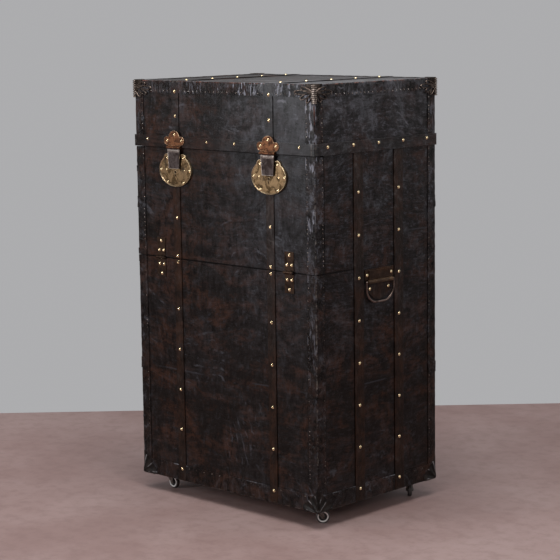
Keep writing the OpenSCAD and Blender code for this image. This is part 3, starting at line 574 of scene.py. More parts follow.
# %% The leathers of the trunk
# sheen sets how strongly each leather's film is painted paler towards the top right, a painted sheen. The lid's paler
# film paints its brighter sheen too.
HIDE, DARK, FILM = (0.046, 0.0172, 0.0088), (0.0082, 0.0056, 0.0048), (0.033, 0.0340, 0.0405)
COVER = leather("cover_leather", HIDE, DARK, FILM, red=0.5, grey=0.5, strokes=(1, 1, 4), grime=0.95, scuffs=0.7,
                sheen=2.2)
LID_COVER = leather("lid_leather", HIDE, DARK, (0.043, 0.0430, 0.0510), red=0.46, grey=0.5, strokes=(1, 1, 4),
                    grime=0.95, scuffs=0.8, sheen=2.4)
BINDING = leather("binding_leather", (0.044, 0.0185, 0.0110), DARK, (0.042, 0.0430, 0.0510), red=0.5, grey=0.5,
                  strokes=(1, 1, 1), rough=0.33, wrinkle=1.5, wear=0.5, edge=2.0, scuffs=0.8, glint_streaks=1.15, lip=1.0,
                  contrast=1.3)
EDGING = leather("edging_leather", (0.050, 0.0200, 0.0125), DARK, (0.036, 0.0365, 0.0430), red=0.55, grey=0.5,
                 strokes=(1, 1, 0.6), rough=0.30, wrinkle=1.6, wear=0.8, edge=2.0, scuffs=0.8, glint_streaks=4.0,
                 frayed=(0.150, 0.062, 0.045), contrast=1.2)
STRAP = leather("strap_leather", (0.036, 0.0145, 0.0075), (0.0120, 0.0064, 0.0044), (0.043, 0.0375, 0.0370), red=0.66,
                grey=0.35, sheen=1.9, strokes=(6, 6, 1), rough=0.42, wrinkle=0.4, wear=0.1, scuffs=0.25, contrast=0.7)
BAND = leather("band_leather", (0.044, 0.0175, 0.0108), (0.0105, 0.0074, 0.0064), (0.041, 0.0415, 0.0470), red=0.5,
               grey=0.55, strokes=(1, 1, 5), rough=0.38, wrinkle=0.4, wear=0.3, scuffs=0.4, contrast=0.6, sheen=2.2)
TAB = leather("tab_leather", (0.052, 0.0225, 0.0100), (0.020, 0.0090, 0.0045), (0.036, 0.0235, 0.0165), red=0.7,
              grey=0.2, strokes=(1, 1, 3), rough=0.38, wrinkle=0.5, wear=0.0, scuffs=0.3, contrast=0.6)
# The roll is painted a paler golden brown than the tab: partly rubbed wear, partly a painted highlight along its
# curve.
ROLL = leather("rolled_leather", (0.125, 0.070, 0.036), (0.040, 0.0225, 0.0125), (0.085, 0.057, 0.037), red=0.7,
               grey=0.2, strokes=(1, 1, 3), rough=0.34, wrinkle=0.5, wear=0.0, scuffs=0.3, contrast=0.6)
CUT_EDGE = leather("cut_leather", (0.15, 0.125, 0.110), (0.07, 0.058, 0.052), (0.16, 0.155, 0.160), red=0.6, grey=0.6,
                   strokes=(1, 1, 1), rough=0.5, wrinkle=0.5, wear=0.0, scuffs=0.2)
print("leathers:", ", ".join(m.name for m in (COVER, LID_COVER, BINDING, EDGING, STRAP, BAND, TAB, ROLL, CUT_EDGE)))

# %% [markdown]
# ## Metals
#
# Brass nails are rubbed bright. The lock plates have gone a mottled ochre, with bright worn rims. The hasp plates
# are a rusty copper brown, their tongues a dull purple steel, and the corner caps a nearly black bronze. One recipe
# serves them all: two tones mixed by a stain, grime where a second noise lies high, and a height for the pits. A rim
# that hands have rubbed is a second finish on its own faces.

# %% Metal finishes
def metal(name, bright, stained, grime, *, stain=0.5, scale=60, rough=0.35, pits=0.15):
    """Old metal. bright, stained and grime are its tones, and scale sets the size of the stains."""
    f = Finish(name)
    spots = f.noise(scale, 6, 0.66, twist=0.5).fade(0.62 - 0.3 * stain, 0.78 - 0.3 * stain)
    dirt = f.noise(scale * 0.45, 5, 0.7).fade(0.50, 0.72)
    fine = f.noise(scale * 9, 4, 0.6)
    colour = f.blend(spots, bright, stained)
    colour = f.blend(dirt * 0.8, colour, grime)
    gloss = rough + spots * 0.16 + dirt * 0.16 + (fine - 0.5) * 0.18
    height = (f.noise(scale * 3, 5, 0.7) - 0.5) * pits + spots * (-0.5 * pits)
    return f.done(colour=colour, rough=gloss.most(0.12).least(0.9), metal=1.0 - dirt * 0.35,
                  normal=f.bump(height, 0.6, 0.8))


NAIL = metal("nail_brass", (1.0, 0.81, 0.49), (0.80, 0.57, 0.29), (0.30, 0.19, 0.09), stain=0.2, scale=180,
             rough=0.20)
LOCK = metal("lock_brass", (0.280, 0.184, 0.098), (0.078, 0.049, 0.024), (0.028, 0.020, 0.012), stain=0.60, scale=62,
             rough=0.36, pits=0.3)
RIM = metal("worn_brass", (0.56, 0.43, 0.27), (0.26, 0.18, 0.10), (0.09, 0.062, 0.036), stain=0.45, scale=70,
            rough=0.32)
COPPER = metal("hasp_copper", (0.19, 0.083, 0.042), (0.066, 0.032, 0.020), (0.026, 0.016, 0.012), stain=0.60,
               scale=90, rough=0.40, pits=0.5)
COPPER_RIM = metal("worn_copper", (0.42, 0.27, 0.17), (0.20, 0.11, 0.065), (0.07, 0.04, 0.028), stain=0.5, scale=70,
                   rough=0.30)
TONGUE = metal("tongue_steel", (0.088, 0.070, 0.067), (0.054, 0.040, 0.037), (0.030, 0.021, 0.019), stain=0.55,
               scale=60, rough=0.55, pits=0.35)
STEEL_RIM = metal("worn_steel", (0.36, 0.31, 0.28), (0.15, 0.115, 0.10), (0.06, 0.042, 0.036), stain=0.55, scale=80,
                  rough=0.32)
STEEL = metal("old_steel", (0.36, 0.32, 0.29), (0.15, 0.10, 0.075), (0.05, 0.035, 0.028), stain=0.5, scale=90,
              rough=0.4)
LEAF = metal("leaf_bronze", (0.055, 0.034, 0.024), (0.026, 0.0165, 0.0125), (0.010, 0.007, 0.006), stain=0.5,
             scale=45, rough=0.44, pits=0.3)
RING = metal("ring_brass", (0.200, 0.150, 0.130), (0.080, 0.057, 0.048), (0.028, 0.020, 0.017), stain=0.5, scale=70,
             rough=0.30)
CAP = metal("cap_bronze", (0.060, 0.045, 0.038), (0.022, 0.016, 0.013), (0.008, 0.006, 0.005), stain=0.6, scale=80,
            rough=0.34, pits=0.3)
CAP_WIRE = metal("worn_bronze", (0.135, 0.104, 0.088), (0.050, 0.037, 0.031), (0.016, 0.012, 0.010), stain=0.6,
                 scale=90, rough=0.32, pits=0.2)
CAP_RIB = metal("rib_bronze", (0.36, 0.30, 0.26), (0.14, 0.11, 0.092), (0.025, 0.019, 0.015), stain=0.5, scale=90,
                rough=0.32, pits=0.2)
IRON = metal("foot_iron", (0.022, 0.0165, 0.0145), (0.0085, 0.0065, 0.0058), (0.003, 0.0022, 0.002), stain=0.5,
             scale=70, rough=0.20, pits=0.8)
TACK = metal("tack_steel", (0.46, 0.42, 0.39), (0.17, 0.13, 0.11), (0.035, 0.026, 0.02), stain=0.75, scale=60,
             rough=0.32)
DULL_TACK = metal("dull_tack_steel", (0.24, 0.20, 0.18), (0.060, 0.045, 0.038), (0.012, 0.009, 0.007), stain=0.8,
                  scale=45, rough=0.36)
FORK = metal("fork_steel", (0.150, 0.135, 0.125), (0.052, 0.043, 0.038), (0.014, 0.011, 0.010), stain=0.5, scale=90,
             rough=0.30)
CHROME = metal("bright_steel", (0.85, 0.85, 0.85), (0.65, 0.65, 0.65), (0.35, 0.34, 0.33), stain=0.2, scale=60,
               rough=0.18, pits=0.03)
print("metals ready")

# %% [markdown]
# ## Creased iron
#
# The boots on the lower corners are thin black iron, beaten round the corner so that it creased. The creases are
# painted pale, partly as rubbed wear and partly as painted highlights. The angle round the corner makes them: a sine
# of that angle rises along lines that fan out from the corner, and a noise lets them wander and break off.

# %% Creased iron of the boots
def boot_iron():
    """Dark iron, with pale lines painted along creases that fan out from the lower corner of the case, partly rubbed
    wear and partly painted highlights.
    """
    f = Finish("boot_iron")
    x, y, z = f.axes()
    along = abs(HALF_W * MM - abs(x)) + abs(HALF_D * MM - abs(y - CENTRE_Y))
    rise = z - FLOOR_GAP + 0.002
    angle = rise.maths("ARCTAN2", rise, along + 0.002)
    wander = (f.noise(30, 4, 0.6) - 0.5) * 2.2
    folds = (angle * 11 + wander).sine()
    spots = f.noise(60, 6, 0.7)
    # Painted highlights and wear: pale lines along the creases.
    bright = folds.fade(0.86, 1.0) * f.noise(45, 4, 0.6).fade(0.44, 0.58)
    colour = f.blend(spots.fade(0.42, 0.62), (0.0045, 0.0035, 0.0031), (0.017, 0.0120, 0.0100))
    colour = f.blend(bright * 0.85, colour, (0.26, 0.255, 0.265))
    return f.done(colour=colour, rough=0.46 + (spots - 0.5) * 0.3, metal=bright * 0.3, specular=0.16,
                  normal=f.bump(folds * 0.7 + spots * 0.4, 0.9, 0.9))


BOOT_IRON = boot_iron()
print("boot iron ready")

# %% [markdown]
# ## Boards and lining
#
# Inside, the boards are plain softwood and the walls are lined in a woven cotton. The grain of the wood is a wave
# stretched along the board, and the weave is two crossed waves of about a millimetre. The boards' edges at the two
# joints are painted black, as painted shade in the narrow gaps there.

# %% Wood and lining finishes
def wood():
    """Plain softwood, painted black at the edges along the two joints as painted shade in the gaps."""
    f = Finish("trunk_board")
    rings = f.node("ShaderNodeTexWave", {"wave_type": "BANDS", "bands_direction": "X"},
                   {"Vector": f.stretched(1, 1, 0.12), "Scale": 26, "Distortion": 7, "Detail": 3,
                    "Detail Scale": 1.5})
    fibre = f.noise(220, 4, 0.6, at=f.stretched(1, 1, 0.05))
    colour = f.blend(rings * 0.55 + fibre * 0.3, (0.44, 0.28, 0.15), (0.24, 0.135, 0.065))
    x, y, z = f.axes()
    # Painted shade: the boards' edges at the two joints turn nearly black.
    edges = abs(z - height_at(JOINT)).least(abs(z - height_at(SEAM)))
    colour = f.blend(edges.fade(0.007, 0.005), colour, (0.010, 0.007, 0.006))
    return f.done(colour=colour, rough=0.62 + (fibre - 0.5) * 0.15, normal=f.bump(rings * 0.3 + fibre * 0.4, 0.25))


def cloth():
    """Woven cotton, yellowed in patches."""
    f = Finish("lining_cloth")
    x, y, z = f.axes()
    threads = pi / (1.1 * MM)
    weave = abs((z * threads).sine()) * 0.5 + abs(((x + y) * threads).sine()) * 0.5
    age = f.noise(7, 5, 0.6).fade(0.35, 0.75)
    colour = f.blend(age, (0.40, 0.33, 0.22), (0.28, 0.21, 0.13))
    colour = f.blend(weave.fade(0.75, 0.2) * 0.5, colour, (0.16, 0.12, 0.075))
    return f.done(colour=colour, rough=0.88, sheen=0.2, normal=f.bump(weave, 0.25, 0.7))


WOOD, LINING = wood(), cloth()
print("wood and lining ready")

# %% [markdown]
# ## Caster wheels
#
# Each small wheel has a dark tread, a bright ring on its face and a bright hub. The finish measures how far a point
# lies from the axle, so each wheel gets its own copy with its own centre and axle direction.

# %% Wheel finish
RING_IN, RING_OUT, HUB_R = 0.0094, 0.0124, 0.0042


def wheel_finish(name, centre, axle):
    """Dark rubber with a bright ring and hub, round an axle through the centre."""
    f = Finish(name)
    offset = f.node("ShaderNodeVectorMath", {"operation": "SUBTRACT"}, {0: f.at, 1: centre})
    along = f.node("ShaderNodeVectorMath", {"operation": "DOT_PRODUCT"}, {0: offset, 1: axle}, "Value")
    reach = f.node("ShaderNodeVectorMath", {"operation": "LENGTH"}, {0: offset}, "Value")
    radius = (reach * reach - along * along).most(0.0) ** 0.5
    tyre = radius.fade(RING_OUT, RING_OUT + 0.0004)
    ring = radius.fade(RING_IN, RING_IN + 0.0004) * (1 - tyre)
    hub = radius.fade(HUB_R, HUB_R - 0.0006)
    bright = (ring + hub).least(1.0)
    colour = f.blend(bright, (0.014, 0.0125, 0.012), (0.88, 0.87, 0.85))
    colour = f.blend(tyre, colour, (0.055, 0.050, 0.048))
    scratch = f.noise(500, 3, 0.6)
    return f.done(colour=colour, metal=bright * 0.25, rough=0.45 - bright * 0.15 + (scratch - 0.5) * 0.1,
                  normal=f.bump(scratch, 0.05))


def refinish(node_name, finish):
    """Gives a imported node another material."""
    slots = frame["nodes"][node_name].data.materials
    slots.clear()
    slots.append(finish)


for joint in frame["joints"]:
    if joint["name"].startswith("spin_"):
        wheel = "caster_wheel_" + joint["name"].removeprefix("spin_")
        refinish(wheel, wheel_finish(wheel + "_finish", joint["pos_m"], joint["axis"]))
print("wheels finished")

# %% [markdown]
# ## Finishes for the nodes that stay
#
# Boards, nails, rings, hinges and casters already have their true shape, so they only need a better material.

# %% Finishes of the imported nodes
KEEP = {
    WOOD: ["base_board", "side_panel_left", "side_panel_right", "back_panel", "front_panel", "lid_top_board",
           "lid_wall_boards", "lid_lip", "flap_front_board", "flap_return_boards"],
    NAIL: ["body_nails", "lid_nails", "flap_nails"],
    LEAF: ["flap_hinge_lower_leaves", "flap_hinge_upper_leaves", "lid_hinge_lower_leaves", "lid_hinge_upper_leaves"],
    STEEL: ["flap_hinge_pins", "lid_hinge_pins", "hasp_pins", "rail_sockets", "caster_plates", "caster_screws",
            "caster_kingpins"],
    RING: ["handle_ring_left", "handle_ring_right"],
    IRON: ["lock_cases"],
    FORK: ["caster_fork_front_left", "caster_fork_front_right", "caster_fork_back_left", "caster_fork_back_right"],
    CHROME: ["garment_rail"],
}
for finish, names in KEEP.items():
    for name in names:
        refinish(name, finish)
print("packed nodes finished:", sum(len(names) for names in KEEP.values()))

# %% [markdown]
# ## Leather covers
#
# The hide is glued over the boards, so each cover is a skin: a cube with its ends taken off, cut where the flap
# leaves it, sliced into small fields so that it can lie slightly uneven, and then given a wall inwards. The seam of
# the flap runs on round the sides as a sunk joint, so a narrow row of points is drawn in there.

# %% Cover of the case
HIDE_T, FIELD, UNEVEN = 1.6, 14, 0.7


def case_skin(name, low_z, high_z):
    """Four walls of the case as a skin without ends."""
    skin = block(name, (-HALF_W, -HALF_D, low_z), (HALF_W, HALF_D, high_z))
    return remove_faces(skin, lambda at, n: abs(n.z) > 0.5)


cover = case_skin("body_cover", 0, JOINT)
cut_at(cover, 2, FRONT_TOP)
cut_at(cover, 1, POST_Y)
remove_faces(cover, lambda at, n: at.z > FRONT_TOP and at.y < POST_Y)
groove_end, groove_z = STRIP_EDGES[0] - HALF_D, SEAM + 0.1
cut_at(cover, 2, groove_z - 1.7, groove_z, groove_z + 1.7)
cut_at(cover, 1, groove_end)
cut_at(cover, 2, *slices(0, FRONT_TOP - 3, FIELD), *slices(SEAM + 3, JOINT, FIELD))
cut_at(cover, 0, *slices(-HALF_W, HALF_W, FIELD))
cut_at(cover, 1, *slices(-HALF_D, HALF_D, FIELD))
ripple(cover, UNEVEN, 55, 1.0)
with editing(cover, "VERT") as edit:
    edit.pick(lambda at, n: abs(at.z - groove_z) < 0.3 and abs(at.x) > HALF_W - 2 and at.y < groove_end - 1)
    bpy.ops.transform.shrink_fatten(value=-1.0 * MM)
walled(cover, HIDE_T)
dressed(cover, COVER, "root", "body_leather")
print("case cover:", len(cover.data.polygons), "faces")

# %% Covers of the flap and the lid
FLAP_HEAD = Vector((0, 2 / 29, 1))


def head_sloped(obj):
    """Trims a piece of the flap along the slope of the flap's head, which falls 2 mm over its return."""
    with editing(obj):
        bpy.ops.mesh.select_all(action="SELECT")
        bpy.ops.mesh.bisect(plane_co=place(0, -HALF_D, FLAP_TOP), plane_no=FLAP_HEAD.normalized(),
                            use_fill=True, clear_outer=True)
    return obj


flap = case_skin("flap_cover", FLAP_FOOT, FLAP_TOP)
cut_at(flap, 1, RETURN_Y)
remove_faces(flap, lambda at, n: at.y > RETURN_Y)
cut_at(flap, 2, *slices(SEAM, FLAP_TOP, FIELD))
cut_at(flap, 0, *slices(-HALF_W, HALF_W, FIELD))
ripple(flap, UNEVEN, 55, 1.3)
walled(flap, HIDE_T)
dressed(head_sloped(flap), COVER, "flap", "flap_leather")

lid = block("lid_cover", (-HALF_W, -HALF_D, LID_BOTTOM), (HALF_W, HALF_D, TOP))
remove_faces(lid, lambda at, n: n.z < -0.5)
cut_at(lid, 2, *slices(LID_BOTTOM, TOP, FIELD))
cut_at(lid, 0, *slices(-HALF_W, HALF_W, FIELD))
cut_at(lid, 1, *slices(-HALF_D, HALF_D, FIELD))
ripple(lid, UNEVEN, 60, 2.1)
walled(lid, HIDE_T)
dressed(lid, LID_COVER, "lid", "lid_leather")
print("flap and lid covers:", len(flap.data.polygons), len(lid.data.polygons), "faces")

# %% [markdown]
# ## Linings
#
# The cotton lining is a thin skin inside the walls, glued to the boards and turned over softly at its edges. It shows
# when the lid or the flap stands open.

# %% Linings
def cloth_skin(name, node, body, open_test, cuts=()):
    """A skin on the node's own box, less the faces that pass the test, with its wall turned inwards."""
    corners = [on_case(corner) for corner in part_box(node)]
    skin = block(name, *corners)
    for axis, value in cuts:
        cut_at(skin, axis, value)
    remove_faces(skin, open_test)
    for axis in range(3):
        cut_at(skin, axis, *slices(corners[0][axis], corners[1][axis], 45))
    walled(skin, 1.0)
    softened(skin, 0.3, 1, 60)
    return dressed(skin, LINING, body, node)


cloth_skin("lid_lining_cloth", "lid_lining", "lid", lambda at, n: n.z < -0.5)
cloth_skin("body_lining_cloth", "body_lining", "root",
           lambda at, n: abs(n.z) > 0.5 or (at.z > FRONT_TOP and at.y < POST_Y), [(2, FRONT_TOP), (1, POST_Y)])


def cloth_sheet(name, node, body):
    """A flat sheet of cloth in the node's own box, with soft edges."""
    corners = [on_case(corner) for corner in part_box(node)]
    sheet = block(name, *corners)
    softened(sheet, 0.3, 2, 60)
    for axis in range(3):
        if corners[1][axis] - corners[0][axis] > 50:
            cut_at(sheet, axis, *slices(corners[0][axis], corners[1][axis], 40))
    return dressed(sheet, LINING, body, node)


cloth_sheet("floor_lining_cloth", "floor_lining", "root")
cloth_sheet("flap_lining_cloth", "flap_lining", "flap")
print("linings done")

# %% [markdown]
# ## Bindings
#
# Strips of leather are folded round every upright corner and round the top of the lid, and tacked along their edges.
# Each strip starts as a cube that keeps only its two outer faces. The fold is bevelled, the strip is sliced finely
# and rippled more strongly than the covers, because these strips are crumpled. Where two lengths meet, a short patch
# lies over the joint.

# %% Corner bindings
FOLD_R = 2.4


def corner_strip(name, side, end, low, high, seed, lift=0.0, crumple=1.5):
    """Leather folded round one upright corner. side is -1 left or 1 right, end is -1 front or 1 back."""
    out = BINDING_T + lift
    xs = sorted((side * (HALF_W - BINDING_W), side * (HALF_W + out)))
    ys = sorted((end * (HALF_D - BINDING_W), end * (HALF_D + out)))
    strip = block(name, (xs[0], ys[0], low), (xs[1], ys[1], high))
    remove_faces(strip, lambda at, n: n.x * side < 0.5 and n.y * end < 0.5)
    with editing(strip, "EDGE") as edit:
        edit.pick(lambda at, n: abs(n.z) > 0.9 and at.x * side > HALF_W and at.y * end > HALF_D)
        bpy.ops.mesh.bevel(offset=FOLD_R * MM, segments=3)
    cut_at(strip, 2, *slices(low, high, 6))
    across = (5, 10, 16, 22)
    cut_at(strip, 0, *[side * (HALF_W - d) for d in across])
    cut_at(strip, 1, *[end * (HALF_D - d) for d in across])
    ripple(strip, crumple, 16, seed)
    walled(strip, BINDING_T + 0.4)
    return softened(strip, 0.35, 1, 50)


def corner_run(name, ends, lengths, patches, seed):
    """All strips of a run of corners, joined into one piece."""
    parts = []
    for side in (-1, 1):
        for end in ends:
            for low, high in lengths:
                seed += 0.37
                parts.append(corner_strip(name, side, end, low, high, seed))
            for low, high in patches:
                seed += 0.37
                parts.append(corner_strip(name, side, end, low, high, seed, 0.9, 2.4))
    return joined(name, parts)


lower_bindings = joined("corner_bindings", [
    corner_run("front_bindings", [-1], [(0, FRONT_TOP)], [(262, 288), (FRONT_TOP - 17, FRONT_TOP)], 3.0),
    corner_run("back_bindings", [1], [(0, JOINT)], [(262, 288), (658, 686)], 8.0),
])
flap_bindings = corner_run("flap_bindings", [-1], [(FLAP_FOOT, FLAP_TOP)],
                           [(FLAP_FOOT, SEAM + 16), (655, 682), (742, 756)], 15.0)
dressed(head_sloped(flap_bindings), BINDING, "flap", "flap_corner_bindings")
print("flap bindings:", len(flap_bindings.data.polygons), "faces")

# %% Binding round the foot of the case
def under_other_leather(at, normal):
    """True where a corner binding, a strap or a strip already covers the wall."""
    if abs(at.y) > HALF_D:
        return abs(at.x) > HALF_W - BINDING_W or abs(abs(at.x) - STRAP_X) < STRAP_W / 2
    from_front = at.y + HALF_D
    return abs(at.y) > HALF_D - BINDING_W or any(abs(from_front - middle) < STRIP_HALF for middle in STRIP_PLACES)


foot = block("foot_binding", (-HALF_W - BINDING_T, -HALF_D - BINDING_T, 0),
             (HALF_W + BINDING_T, HALF_D + BINDING_T, FOOT_H))
remove_faces(foot, lambda at, n: abs(n.z) > 0.5)
for s in (-1, 1):
    cut_at(foot, 0, s * (HALF_W - BINDING_W), *[s * edge for edge in STRAP_EDGES])
    cut_at(foot, 1, s * (HALF_D - BINDING_W))
cut_at(foot, 1, *[line - HALF_D for line in STRIP_EDGES])
remove_faces(foot, under_other_leather)
cut_at(foot, 0, *slices(-HALF_W, HALF_W, 9))
cut_at(foot, 1, *slices(-HALF_D, HALF_D, 9))
cut_at(foot, 2, *slices(0, FOOT_H, 6))
ripple(foot, 1.3, 20, 51.0)
walled(foot, BINDING_T + 0.3)
softened(foot, 0.35, 1, 50)
case_bindings = dressed(joined("case_bindings", [lower_bindings, foot]), BINDING, "root", "body_bindings")
print("case bindings:", len(case_bindings.data.polygons), "faces, at the foot %.0f mm high" % FOOT_H)

# %% Binding round the top of the lid
EDGE_Z, EDGE_IN = TOP - 27, 20
edging = block("lid_edging", (-HALF_W - BINDING_T, -HALF_D - BINDING_T, EDGE_Z),
               (HALF_W + BINDING_T, HALF_D + BINDING_T, TOP + BINDING_T))
remove_faces(edging, lambda at, n: n.z < -0.5)
cut_at(edging, 0, -HALF_W + EDGE_IN, HALF_W - EDGE_IN)
cut_at(edging, 1, -HALF_D + EDGE_IN, HALF_D - EDGE_IN)
remove_faces(edging, lambda at, n: n.z > 0.5 and abs(at.x) < HALF_W - EDGE_IN and abs(at.y) < HALF_D - EDGE_IN)
with editing(edging, "EDGE") as edit:
    edit.pick(lambda at, n: (abs(n.z) > 0.9 and abs(at.x) > HALF_W and abs(at.y) > HALF_D)
              or (abs(n.z) < 0.1 and at.z > TOP + 1 and (abs(at.x) > HALF_W or abs(at.y) > HALF_D)))
    bpy.ops.mesh.bevel(offset=FOLD_R * MM, segments=3)
cut_at(edging, 0, *slices(-HALF_W + 4, HALF_W - 4, 7))
cut_at(edging, 1, *slices(-HALF_D + 4, HALF_D - 4, 7))
cut_at(edging, 2, EDGE_Z + 6, EDGE_Z + 12, EDGE_Z + 18)
ripple(edging, 1.7, 17, 21.0)
walled(edging, BINDING_T + 0.4)
softened(edging, 0.35, 1, 50)
lid_corners = corner_run("lid_corner_bindings", [-1, 1], [(BAND_TOP - 2, EDGE_Z + 2)], [], 25.0)
lid_bindings = dressed(joined("lid_bindings_leather", [edging, lid_corners]), EDGING, "lid", "lid_bindings")
print("lid bindings:", len(lid_bindings.data.polygons), "faces")

# %% [markdown]
# ## Rim band
#
# A thick strip runs round the lower edge of the lid and hides the joint. It is one ring: a cube without top and
# bottom, rounded at the upright corners, walled inwards and softened along both rims. At the back it leaves room
# for the hinges. On the front a second length lies over it, and its cut end shows pale near the right corner.

# %% Rim band
BAND_T, LEAF_HALF, LEAF_ROOM, CUT_END = 4, 14, 14.4, 7.6
hinge_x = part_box("lid_hinge_upper_leaves")[1].x / MM - LEAF_HALF
band = block("rim_band", (-HALF_W - BAND_T, -HALF_D - BAND_T, LID_BOTTOM),
             (HALF_W + BAND_T, HALF_D + BAND_T, BAND_TOP))
remove_faces(band, lambda at, n: abs(n.z) > 0.5)
with editing(band, "EDGE") as edit:
    edit.pick(lambda at, n: abs(n.z) > 0.9)
    bpy.ops.mesh.bevel(offset=2.5 * MM, segments=3)
cut_at(band, 0, *[s * (hinge_x + e * LEAF_ROOM) for s in (-1, 1) for e in (-1, 1)])
remove_faces(band, lambda at, n: at.y > HALF_D and abs(abs(at.x) - hinge_x) < LEAF_ROOM)
cut_at(band, 0, *slices(-HALF_W, HALF_W, 16))
cut_at(band, 1, *slices(-HALF_D, HALF_D, 16))
cut_at(band, 2, LID_BOTTOM + 9, LID_BOTTOM + 18)
ripple(band, 0.9, 40, 31.0)
walled(band, BAND_T + 0.3)
softened(band, 0.7, 2, 50)
painted(band, BAND)
front_length = block("band_front_length", (-HALF_W + 5, -HALF_D - BAND_T - 0.6, LID_BOTTOM + 0.6),
                     (HALF_W - 5, -HALF_D - BAND_T + 0.6, BAND_TOP - 0.6))
softened(front_length, 0.5, 2, 50)
cut_at(front_length, 0, *slices(-HALF_W + 5, HALF_W - 5, 16))
ripple(front_length, 0.3, 40, 31.0)
cut_at(front_length, 0, HALF_W - CUT_END)
painted(front_length, BAND, CUT_EDGE)
with editing(front_length) as edit:
    edit.pick(lambda at, n: at.x > HALF_W - CUT_END + 0.1)
    front_length.active_material_index = 1
    bpy.ops.object.material_slot_assign()
rim_band = dressed(joined("rim_band_leather", [band, front_length]), BAND, "lid", "lid_rim_band")
print("rim band:", len(rim_band.data.polygons), "faces")

# %% [markdown]
# ## Straps and side strips
#
# The straps are flat bars of leather nailed over the panels. Each is a cube at its place, sliced along its length
# and softened along its edges. The two over the lid are one length, folded over its front and back edge.

# %% Straps
def bar(name, low, high, axis, seed):
    """A flat leather bar along one axis."""
    made = block(name, low, high)
    softened(made, 0.8, 2, 50)
    cut_at(made, axis, *slices(low[axis], high[axis], 12))
    return ripple(made, 0.55, 30, seed)


def pair(name, low, high, axis, seed):
    """The same bar left and right."""
    mirrored = ((-high[0], low[1], low[2]), (-low[0], high[1], high[2]))
    return [bar(name, low, high, axis, seed), bar(name, *mirrored, axis, seed + 5)]


left, right = STRAP_EDGES
SUNK = 0.4
UPRIGHT = [
    ("front_straps", "root", "lower_front_straps", -HALF_D - STRAP_T, 0, FRONT_TOP, 2),
    ("rear_straps", "root", "back_straps", HALF_D - SUNK, 0, JOINT, 4),
    ("flap_straps_leather", "flap", "flap_straps", -HALF_D - STRAP_T, FLAP_FOOT, FLAP_TOP, 6),
]
for name, body, node, y, foot_z, head_z, seed in UPRIGHT:
    straps = pair("strap", (left, y, foot_z), (right, y + STRAP_T + SUNK, head_z), 2, seed)
    dressed(joined(name, straps), STRAP, body, node)
strips = []
for y in [middle - HALF_D for middle in STRIP_PLACES]:
    strips += pair("strip", (HALF_W - SUNK, y - STRIP_HALF, 0), (HALF_W + STRAP_T, y + STRIP_HALF, JOINT), 2, y)
dressed(joined("side_strips_leather", strips), STRAP, "root", "side_strips")
print("upright straps:", len(UPRIGHT), "pairs, and", len(strips), "strips on the sides")

# %% Straps over the lid
over_lid = []
for side in (-1, 1):
    xs = sorted((side * left, side * right))
    strap = block("lid_strap", (xs[0], -HALF_D - STRAP_T, BAND_TOP), (xs[1], HALF_D + STRAP_T, TOP + STRAP_T))
    remove_faces(strap, lambda at, n: n.z < -0.5 or abs(n.x) > 0.5)
    with editing(strap, "EDGE") as edit:
        edit.pick(lambda at, n: abs(n.x) > 0.9 and at.z > TOP)
        bpy.ops.mesh.bevel(offset=3.2 * MM, segments=4)
    cut_at(strap, 1, *slices(-HALF_D + 3, HALF_D - 3, 12))
    cut_at(strap, 2, *slices(BAND_TOP, TOP - 3, 12))
    ripple(strap, 0.3, 30, 11.0 + side)
    walled(strap, STRAP_T)
    over_lid.append(softened(strap, 0.7, 2, 50))
over_lid = dressed(joined("lid_straps_leather", over_lid), BAND, "lid", "lid_straps")
print("straps over the lid:", len(over_lid.data.polygons), "faces")

# %% [markdown]
# ## Tacks
#
# Hundreds of small tacks hold the bindings. One tack is half a sphere of a few faces. An Array modifier copies it
# along a row. Then each copy is nudged a little, because they were driven by hand. About one in five is lost from the
# upright rows, and fewer from the level ones.

# %% Tacks
RANDOM = np.random.default_rng(7)
TACK_R, NUDGE, LOST_UPRIGHT, LOST_LEVEL = 1.4, 0.55, 0.22, 0.07
UPRIGHT_PITCH, LEVEL_PITCH, FOOT_PITCH = 10, 14, 26
TACK_OUT = BINDING_T - 0.1


def tack_row(start, step, count, outward):
    """A row of domed tacks. start and step are in mm on the case, outward is the way they face."""
    bpy.ops.object.select_all(action="DESELECT")
    bpy.ops.mesh.primitive_uv_sphere_add(segments=8, ring_count=6, radius=TACK_R * MM)
    tack = bpy.context.object
    with editing(tack, "VERT"):
        bpy.ops.mesh.select_all(action="SELECT")
        bpy.ops.mesh.bisect(plane_co=(0, 0, 0), plane_no=(0, 0, 1), clear_inner=True, use_fill=True)
    size = len(tack.data.vertices)
    turn = Vector((0, 0, 1)).rotation_difference(Vector(outward)).to_matrix().to_4x4()
    tack.data.transform(Matrix.Translation(place(*start)) @ turn @ Matrix.Diagonal((1, 1, 0.6, 1)))
    modify(tack, "ARRAY", count=count, use_relative_offset=False, use_constant_offset=True,
           constant_offset_displace=[s * MM for s in step])
    points = np.empty(len(tack.data.vertices) * 3)
    tack.data.vertices.foreach_get("co", points)
    points = points.reshape(count, size, 3)
    nudge = RANDOM.normal(0, NUDGE * MM, (count, 1, 3)) * (1 - np.abs(np.array(outward)))
    tack.data.vertices.foreach_set("co", (points + nudge).ravel())
    lost = RANDOM.random(count) < (LOST_UPRIGHT if step[2] else LOST_LEVEL)
    with editing(tack, "VERT"):
        mesh = bmesh.from_edit_mesh(tack.data)
        for vertex in mesh.verts:
            vertex.select_set(bool(lost[vertex.index // size]))
        bpy.ops.mesh.delete(type="VERT")
    return tack


def row_between(a, b, outward, pitch=LEVEL_PITCH):
    """A row from one place on the case to another, about a pitch apart."""
    span = Vector(b) - Vector(a)
    count = max(2, round(span.length / pitch) + 1)
    return tack_row(a, span / (count - 1), count, outward)


